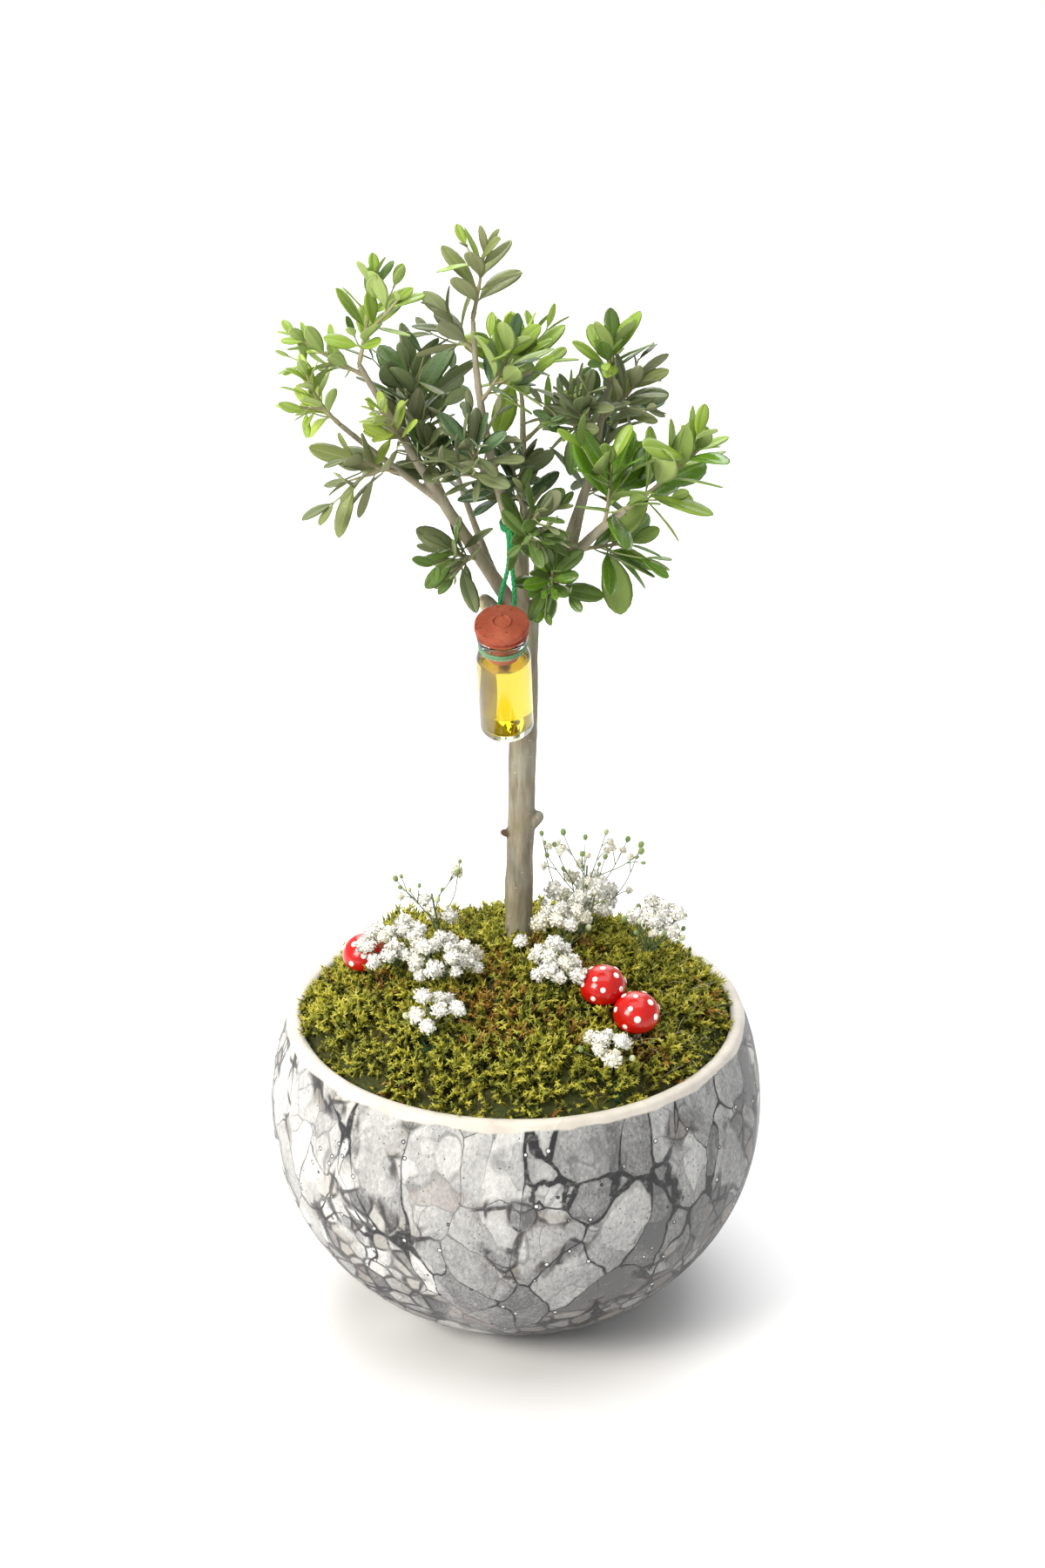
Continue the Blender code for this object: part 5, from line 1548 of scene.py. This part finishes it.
def make_thread(paths, materials):
    """Turns round the vial's neck, and strands that hang it from a knot on the bough."""
    heap = Heap()
    major = VIAL_NECK_RADIUS + GAP + THREAD_RADIUS
    low = VIAL_NECK_Z + NECK_TURN_LIFT - 0.0004
    matrix = vial_matrix()
    neck = ring_path(matrix @ Matrix.Translation((0.0, 0.0, low)), major, 2.0, 0.00125, 60)
    plied(heap, neck, 0.00062, 0.0036, 3, 1)
    bough = LIMBS["bough_centre_low"]
    place, direction = along(paths["bough_centre_low"], HANGER_SHARE)
    reach = bough.foot + (bough.tip - bough.foot) * HANGER_SHARE + 0.0009
    tie = placed(place - direction * 0.0012, direction)
    plied(heap, ring_path(tie, reach, 2.6, 0.0012, 40, 0.6), THREAD_RADIUS, 0.0026)
    front = (FRONT - direction * FRONT.dot(direction)).normalized()
    knot = place + front * (reach + KNOT_RADIUS * 0.5)
    behind = -heading(VIAL_AZIMUTH, VIAL_LEAN + 90.0) * (major + THREAD_RADIUS)
    for side in (-1, 1):
        foot = matrix @ Vector((0.0, 0.0, low)) + behind
        foot.x += side * HANGER_SPREAD
        meet = foot.lerp(knot, 0.66) + FRONT * 0.0008
        meet.x = knot.x + side * 0.0007
        middle = foot.lerp(meet, 0.5)
        middle.x += side * 0.0010
        end = knot + Vector((side * 0.0005, 0.0, 0.0))
        strand = smooth_path([foot - UP * 0.0008, foot, middle, meet, end], 22)
        plied(heap, strand, 0.00092, 0.0060)
    for turn in range(3):
        loop = placed(knot + UP * (0.0007 * (turn - 1)), heading(40.0 + 70.0 * turn, 60.0))
        plied(heap, ring_path(loop, KNOT_RADIUS * 0.72, 1.0, 0.0, 26), THREAD_RADIUS * 0.95, 0.0026)
    for end in ((0.0052, -0.0012, 0.0026), (0.0022, -0.0016, -0.0040)):
        tail = smooth_path([knot, knot + Vector(end) * 0.5 + FRONT * 0.0006, knot + Vector(end)], 14)
        plied(heap, tail, THREAD_RADIUS * 0.85, 0.0026)
    piece = heap.build("thread_plied", [materials["thread"], materials["thread_neck"]])
    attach(piece, "root")
    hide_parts("thread")


# ================================================================ toadstools and flowers
def cap_matrix(name):
    return placed(moss_point(*TOADSTOOLS[name], CAP_LIFT), heading(*CAP_LEANS[name]))


def cap_profile():
    """A toadstool cap's section, from the middle of its underside out and over its dome."""
    profile = [(0.0, 0.0004), (CAP_RADIUS * 0.30, 0.0002), (CAP_RADIUS * 0.84, -0.0007),
               (CAP_RADIUS * 0.93, -CAP_LIP)]
    for i in range(15):
        angle = math.pi / 2 * (i / 14) * 1.08 - 0.08 * math.pi / 2
        profile.append((CAP_RADIUS * math.cos(angle), CAP_HEIGHT * math.sin(angle)))
    profile[-1] = (0.0, CAP_HEIGHT)
    return profile


CAP_DOTS = 11
DOT_RADIUS = 0.00128


def make_toadstools(materials):
    for number, name in enumerate(TOADSTOOLS):
        matrix = cap_matrix(name)
        rng = random.Random(60 + number)
        cap = Heap()
        points, faces = turned(cap_profile(), 72)
        cap.add(moved(points, matrix), faces, 0)
        for i in range(CAP_DOTS):
            rise = 1 - (i + 0.35) / CAP_DOTS * 0.93
            angle = math.radians(GOLDEN_ANGLE * i) + rng.uniform(-0.16, 0.16)
            flat = math.sqrt(1 - rise * rise)
            spot = Vector((CAP_RADIUS * flat * math.cos(angle), CAP_RADIUS * flat * math.sin(angle),
                           CAP_HEIGHT * rise))
            normal = Vector((spot.x / CAP_RADIUS ** 2, spot.y / CAP_RADIUS ** 2, spot.z / CAP_HEIGHT ** 2))
            size = DOT_RADIUS * rng.uniform(0.78, 1.12)
            dot, rows = ball_shape(spot, size, 6, 14, normal.normalized(), 0.32)
            cap.add(moved(dot, matrix), rows, 1)
        piece = cap.build(f"toadstool_{name}_spotted", [materials["cap"], materials["dot"]])
        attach(piece, "root")
        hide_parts(f"toadstool_{name}_cap")

        stalk = Heap()
        top = np.array(matrix @ Vector((0.0, 0.0, -0.0003)))
        foot = np.array(moss_point(*TOADSTOOLS[name], -STALK_DEPTH))
        path = foot + (top - foot) * np.linspace(0.0, 1.0, 9)[:, None]
        stalk.add(*swept(path, STALK_RADIUS * (1.12 - 0.2 * np.sin(np.linspace(0.0, 3.1, 9))), 24))
        for i in range(44):
            turn = Matrix.Rotation(2 * math.pi * i / 44, 4, "Z")
            corners = [(0.0019, 0.0, 0.0003), (CAP_RADIUS * 0.88, 0.0, -0.0009), (0.0019, 0.0, -0.0010),
                       (CAP_RADIUS * 0.80, 0.0, -0.0014)]
            thick = [(x, side * 0.00011, z) for side in (1, -1) for x, _, z in corners]
            gill = convex(thick, [(0, 1, 3, 2), (4, 6, 7, 5), (0, 4, 5, 1), (1, 5, 7, 3), (3, 7, 6, 2),
                                  (2, 6, 4, 0)])
            stalk.add(moved(gill[0], matrix @ turn), gill[1])
        piece = stalk.build(f"toadstool_{name}_foot", [materials["stalk"]])
        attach(piece, "root")
        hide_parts(f"toadstool_{name}_stalk")


def petal_shape(length, width, lift, rng):
    """A notched petal that cups upwards, y along it from the flower's middle."""
    rows, lines = 4, np.array((-1.0, -0.35, 0.35, 1.0))
    shares = np.linspace(0.0, 1.0, rows)
    half = width / 2 * np.array((0.20, 0.74, 1.0, 0.74))
    x = half[:, None] * lines
    notch = 0.16 * length * (1 - np.abs(lines)) * (shares[:, None] ** 6)
    y = shares[:, None] * length * math.cos(lift) - notch
    waves = np.sin(3.0 * lines * rng.uniform(0.8, 1.3) + rng.uniform(0, 6))
    ruffle = 0.16 * width * waves * shares[:, None] ** 2
    z = shares[:, None] ** 1.6 * length * math.sin(lift) + 0.35 * np.abs(x) + ruffle
    upper = np.stack([x, y, z], axis=-1)
    lower = (upper - (0.0, 0.0, 0.00012))[1:-1, 1:-1]
    return np.vstack([upper.reshape(-1, 3), lower.reshape(-1, 3)]), closed_sheet(rows, len(lines))


HEAD_PETALS = 28
HEAD_CORE = 0.72


def head_shape(rng):
    """A double flower of radius 1: a pale ball under petals that lie over each other."""
    petals = [ball_shape((0.0, 0.0, 0.0), HEAD_CORE, 7, 12)]
    for i in range(HEAD_PETALS):
        rise = 1 - 1.5 * (i + 0.5) / HEAD_PETALS
        angle = math.radians(GOLDEN_ANGLE * i)
        flat = math.sqrt(1 - rise * rise)
        out = Vector((flat * math.cos(angle), flat * math.sin(angle), rise))
        along_ball = across(out, rng.uniform(0, 360))
        side = along_ball.cross(out)
        size = rng.uniform(0.80, 1.10)
        points, faces = petal_shape(0.58 * size, 0.56 * size, rng.uniform(0.30, 0.75), rng)
        turn = np.array([side, along_ball, out]).T
        foot = np.array(out) * (HEAD_CORE - 0.04) - np.array(along_ball) * (0.18 * size)
        petals.append((points @ turn.T + foot, faces))
    return joined(petals)


def calyx_shape():
    """The green cup under a flower, of radius 1."""
    profile = [(0.0, -1.0), (0.20, -0.95), (0.34, -0.60), (0.40, -0.25), (0.30, 0.0), (0.0, 0.05)]
    return turned(profile, 8)


SHOWN_HEADS = {  # heads and buds of each spray, and how much wider than the solid it opens
    "sprig_left_back": (15, 1, 1.55), "sprig_left_mid": (18, 0, 1.75), "sprig_left_front": (8, 1, 1.40),
    "sprig_left_buds": (3, 5, 1.40), "sprig_centre": (11, 0, 1.40), "sprig_centre_back": (9, 1, 1.40),
    "sprig_front": (7, 3, 1.45), "sprig_back": (17, 11, 1.40), "sprig_right": (10, 9, 1.35),
}
REACHES = {  # how far out stalks go, by whether the spray is tall and the stalk bears a flower
    (False, True): (0.78, 1.15), (False, False): (0.9, 1.2),
    (True, True): (0.18, 0.62), (True, False): (0.70, 1.10),
}
TRUNK_SPRIG = Sprig(0.003, -0.012, 250, 6, 0.012, 4, 1, 0, 51)
SHOWN_RADIUS = (0.0028, 0.0042)


def make_sprigs(materials):
    """Flower sprays on thin green stalks, with buds on side stalks."""
    rng = random.Random(81)
    shapes = [head_shape(rng) for _ in range(6)]
    calyx = calyx_shape()
    blossom = Heap()
    stalks = Heap()
    sprigs = {**SPRIGS, "sprig_trunk": TRUNK_SPRIG}
    placed_heads = []
    for name, sprig in sprigs.items():
        rng = random.Random(sprig.seed)
        heads, buds, wider = SHOWN_HEADS.get(name, (sprig.heads, sprig.buds, 1.0))
        axis = heading(sprig.azimuth, sprig.lean)
        ground = moss_point(sprig.x, sprig.y)
        fork = ground + axis * (sprig.height * FORK_SHARE)
        top = ground.lerp(fork, 1.75 if sprig.height > 0.025 else 1.0)
        stalks.add(*swept(smooth_path([ground - axis * SPRIG_DEPTH, ground, top], 4),
                          np.linspace(SPRIG_FOOT, STALK_TIP, 9), 7))
        for i in range(heads + buds):
            share = math.sqrt((i + 0.5) / (heads + buds))
            radial = across(axis, GOLDEN_ANGLE * i + rng.uniform(-14, 14))
            bloom = i < heads
            tall = sprig.height > 0.025
            lean = math.radians(sprig.spread * share * wider * (1.7 if tall and bloom else 1.0))
            reach = sprig.height * STALK_SHARE * rng.uniform(*REACHES[tall, bloom])
            origin = ground.lerp(fork, rng.uniform(0.1, 1.0)) if tall and bloom else fork
            tip = origin + (axis * math.cos(lean) + radial * math.sin(lean)) * reach
            radius = rng.uniform(*SHOWN_RADIUS) if bloom else BUD_RADIUS * rng.uniform(0.75, 1.1)
            tip.z = max(tip.z, moss_height(math.hypot(tip.x, tip.y)) + radius + 0.0012)
            if any((tip - other).length < 0.56 * (radius + size) for other, size in placed_heads):
                continue
            placed_heads.append((tip, radius))
            climb = rng.uniform(0.0, 0.5 if bloom else 1.5) if tall else rng.uniform(0.35, 1.0)
            start = ground + (fork - ground) * climb
            bend = start.lerp(tip, 0.5) + radial * (rng.uniform(0.02, 0.14) * reach)
            path = smooth_path([start, bend, tip - UP * (0.3 * radius)], 6)
            thin = 0.00024 if bloom else 0.00018
            stalks.add(*swept(path, np.linspace(thin * 1.3, thin, len(path)), 5))
            outward = (tip - fork).normalized() * 0.6 + UP + FRONT * 0.25
            turn = Matrix.Rotation(rng.uniform(0, 6.28), 4, "Z")
            frame_here = placed(tip, outward.normalized()) @ turn
            if bloom:
                points, faces = shapes[rng.randrange(len(shapes))]
                blossom.add(moved(points * radius, frame_here), faces, 0 if rng.random() < 0.8 else 1)
                stalks.add(moved(calyx[0] * radius * 0.7 - (0, 0, 0.25 * radius), frame_here), calyx[1], 0)
            else:
                bud = ball_shape(tip, radius, 7, 10, outward.normalized(), 1.25)
                stalks.add(*bud, 1 if rng.random() < 0.6 else 2)
            for side in range(2 if reach > 0.018 else 0):
                twig_foot, ahead = along([Vector(p) for p in path], rng.uniform(0.35, 0.8))
                out = (ahead * 0.8 + across(ahead, rng.uniform(0, 360)) * 0.6).normalized()
                end = twig_foot + out * rng.uniform(0.004, 0.009)
                stalks.add(*swept([twig_foot, twig_foot.lerp(end, 0.5) + UP * 0.0005, end],
                                  [0.00022, 0.0002, 0.00018], 5))
                if rng.random() < 0.5:
                    points, faces = shapes[side]
                    blossom.add(moved(points * 0.0017, placed(end, out)), faces, 1)
                else:
                    stalks.add(*ball_shape(end, 0.0008, 6, 9, out, 1.3), 1)
    piece = blossom.build("blossom", [materials["petal"], materials["petal_warm"]])
    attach(piece, "root")
    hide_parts(*SPRIGS)
    piece = stalks.build("flower_stalks", [materials["sprig_green"], materials["bud"], materials["bud_pale"]])
    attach(piece, "root")


TUFTS = ((-0.031, -0.056, 16), (0.039, -0.071, 14), (-0.047, -0.012, 8), (0.014, -0.030, 8))


def make_tufts(materials):
    """Dark needle tufts at the sprays' feet, and pale dry hairs over the moss on the right."""
    rng = random.Random(91)
    heap = Heap()
    for x, y, count in TUFTS:
        for _ in range(count):
            foot = moss_point(x + rng.uniform(-0.004, 0.004), y + rng.uniform(-0.004, 0.004), -0.001)
            out = heading(rng.uniform(0, 360), rng.uniform(12, 50)) * rng.uniform(0.007, 0.0125)
            path = smooth_path([foot, foot + out * 0.5 + UP * 0.0006, foot + out], 3)
            heap.add(*swept(path, 0.00034 * (1 - np.linspace(0.0, 0.93, len(path)) ** 2), 5), 0)
    for _ in range(70):
        angle = math.radians(rng.uniform(-48, 12))
        radius = rng.uniform(0.058, 0.083)
        foot = moss_point(radius * math.cos(angle), radius * math.sin(angle), 0.0014)
        out = heading(rng.uniform(0, 360), rng.uniform(60, 88)) * rng.uniform(0.006, 0.012)
        middle = foot + out * 0.5 + UP * rng.uniform(0.0006, 0.0022)
        path = smooth_path([foot, middle, foot + out + UP * 0.0004], 4)
        heap.add(*swept(path, np.full(len(path), 0.00010), 4), 1)
    piece = heap.build("tufts", [materials["needle"], materials["hair"]])
    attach(piece, "root")


# ================================================================ the whole
def leaf_materials():
    made = {}
    for tone, (upper, under, rib, gloss, _) in TONES.items():
        name = f"leaf_{tone}"
        made[name + "_upper"] = plain_material(name + "_upper", upper, gloss, 0.5, 700.0, 0.00012)
        made[name + "_rib"] = plain_material(name + "_rib", rib, 0.5)
        made[name + "_under"] = plain_material(name + "_under", under, 0.72, 0.25, 1200.0, 0.0001)
    return made


def make_materials():
    made = {
        "pot": pot_material(),
        "soil": soil_material(),
        "moss_ground": moss_ground_material(),
        "bark": bark_material(),
        "glass": clear_material("glass", "F4F8F4", 0.015, 1.47),
        "oil": clear_material("oil", "F3CF2A", 0.02, 1.46),
        "stopper": terracotta_material("terracotta", (0.3, "8F4029"), (0.55, "9E4C34"), (0.75, "AB5940")),
        # painted light: the plug is the stopper's clay made far brighter, standing in for light that hardly
        # reaches it through the glass
        "plug": terracotta_material("terracotta_plug_painted_light", (0.3, "EE6A2A"), (0.55, "F47A34"), (0.75, "F88A42")),
        "thread": thread_material("thread", "0F6B34", "1F9150", "4DB274"),
        "cap": cap_material(),
        "stalk": plain_material("toadstool_stalk", "E9E2D2", 0.6),
        "twig": plain_material("twig", "A2987A", 0.7, 0.25, 900.0, 0.0002),
        "twig_fine": plain_material("twig_fine", "A6AF78", 0.6),
        "dot": plain_material("toadstool_dot", "F6F3EC", 0.4, 0.5),
        "petal": petal_material("petal", "FFFEF6"),
        "petal_warm": petal_material("petal_warm", "FBF8E8"),
        "bud": plain_material("bud", "7E9458", 0.55),
        "bud_pale": plain_material("bud_pale", "C9CFA6", 0.55),
        "needle": plain_material("needle", "1F4A2A", 0.5),
        "hair": plain_material("hair", "B9B48C", 0.6),
        "thread_neck": thread_material("thread_neck", "4E7A55", "79A47C", "9FC19C"),
        "sprig_green": plain_material("sprig_green", "62734A", 0.55),
        "moss_bright_foot": plain_material("moss_bright_foot", "757325", 0.8, 0.2),
        "moss_bright_mid": plain_material("moss_bright_mid", "B0AB3C", 0.75, 0.2),
        "moss_bright_tip": plain_material("moss_bright_tip", "CDC65C", 0.7, 0.25),
        "moss_deep_foot": plain_material("moss_deep_foot", "575A22", 0.8, 0.2),
        "moss_deep_mid": plain_material("moss_deep_mid", "888B34", 0.75, 0.2),
        "moss_deep_tip": plain_material("moss_deep_tip", "A6A746", 0.7, 0.25),
        "moss_rust_foot": plain_material("moss_rust_foot", "5E4320", 0.85, 0.2),
        "moss_rust_mid": plain_material("moss_rust_mid", "96722F", 0.8, 0.2),
        "moss_rust_tip": plain_material("moss_rust_tip", "BE9E50", 0.75, 0.2),
    }
    made.update(leaf_materials())
    return made


def dress(node, material):
    """Gives a kept CAD node a better material."""
    slots = NODES[node].material_slots
    for slot in slots:
        slot.link = "OBJECT"
        slot.material = material


def make_camera():
    camera = bpy.data.objects.new("camera", bpy.data.cameras.new("camera"))
    camera.location = CAMERA_PLACE
    camera.rotation_euler = (math.radians(90.0 - CAMERA_PITCH), 0.0, 0.0)
    camera.data.lens = CAMERA_LENS
    camera.data.sensor_width = 36.0
    camera.data.clip_start = 0.01
    bpy.context.scene.collection.objects.link(camera)
    bpy.context.scene.camera = camera


def area_light(name, place, size, power, tint="FFFFFF"):
    data = bpy.data.lights.new(name, "AREA")
    data.size = size
    data.energy = power
    data.color = colour(tint)[:3]
    light = bpy.data.objects.new(name, data)
    light.location = place
    light.rotation_euler = (Vector((0.0, 0.0, 0.22)) - Vector(place)).to_track_quat("-Z", "Y").to_euler()
    bpy.context.scene.collection.objects.link(light)


def make_studio():
    """A white floor and world, a broad key from the upper left, a soft top light and a lit background."""
    world = bpy.data.worlds.new("studio")
    bpy.context.scene.world = world
    world.use_nodes = True
    world.node_tree.nodes["Background"].inputs["Color"].default_value = (1.0, 1.0, 1.0, 1.0)
    world.node_tree.nodes["Background"].inputs["Strength"].default_value = 0.52
    area_light("key", (-1.45, -1.10, 1.25), 0.8, 40.0, "FFFAF0")
    area_light("top", (0.0, 0.2, 3.0), 3.0, 66.0)
    area_light("rim", (-0.4, 1.4, 1.4), 0.9, 6.0)
    area_light("background", (0.0, 3.4, 2.2), 3.0, 60.0)
    paint = Paint("floor", Base_Color=(0.93, 0.93, 0.93, 1.0), Roughness=0.8)
    heap = Heap()
    heap.add([(-20, -20, 0), (20, -20, 0), (20, 20, 0), (-20, 20, 0)], [(0, 1, 2, 3)])
    floor = heap.build("floor", [paint.material])
    bpy.context.scene.view_settings.view_transform = "Standard"


def main():
    make_camera()
    make_studio()
    materials = make_materials()
    paths = limb_paths()
    make_pot(materials)
    dress("soil", materials["soil"])
    make_moss_ground(materials)
    make_moss_shoots(materials)
    make_bark(paths, materials)
    solid = ["trunk", *LIMBS, "vial_glass", "vial_oil", "vial_stopper", "thread"]
    obstacles = [node_tree(name) for name in solid]
    sprays = grow_masses(paths, obstacles)
    make_leaves(sprays, materials)
    make_twigs(sprays, materials)
    make_vial(materials)
    make_thread(paths, materials)
    make_toadstools(materials)
    make_sprigs(materials)
    make_tufts(materials)


main()
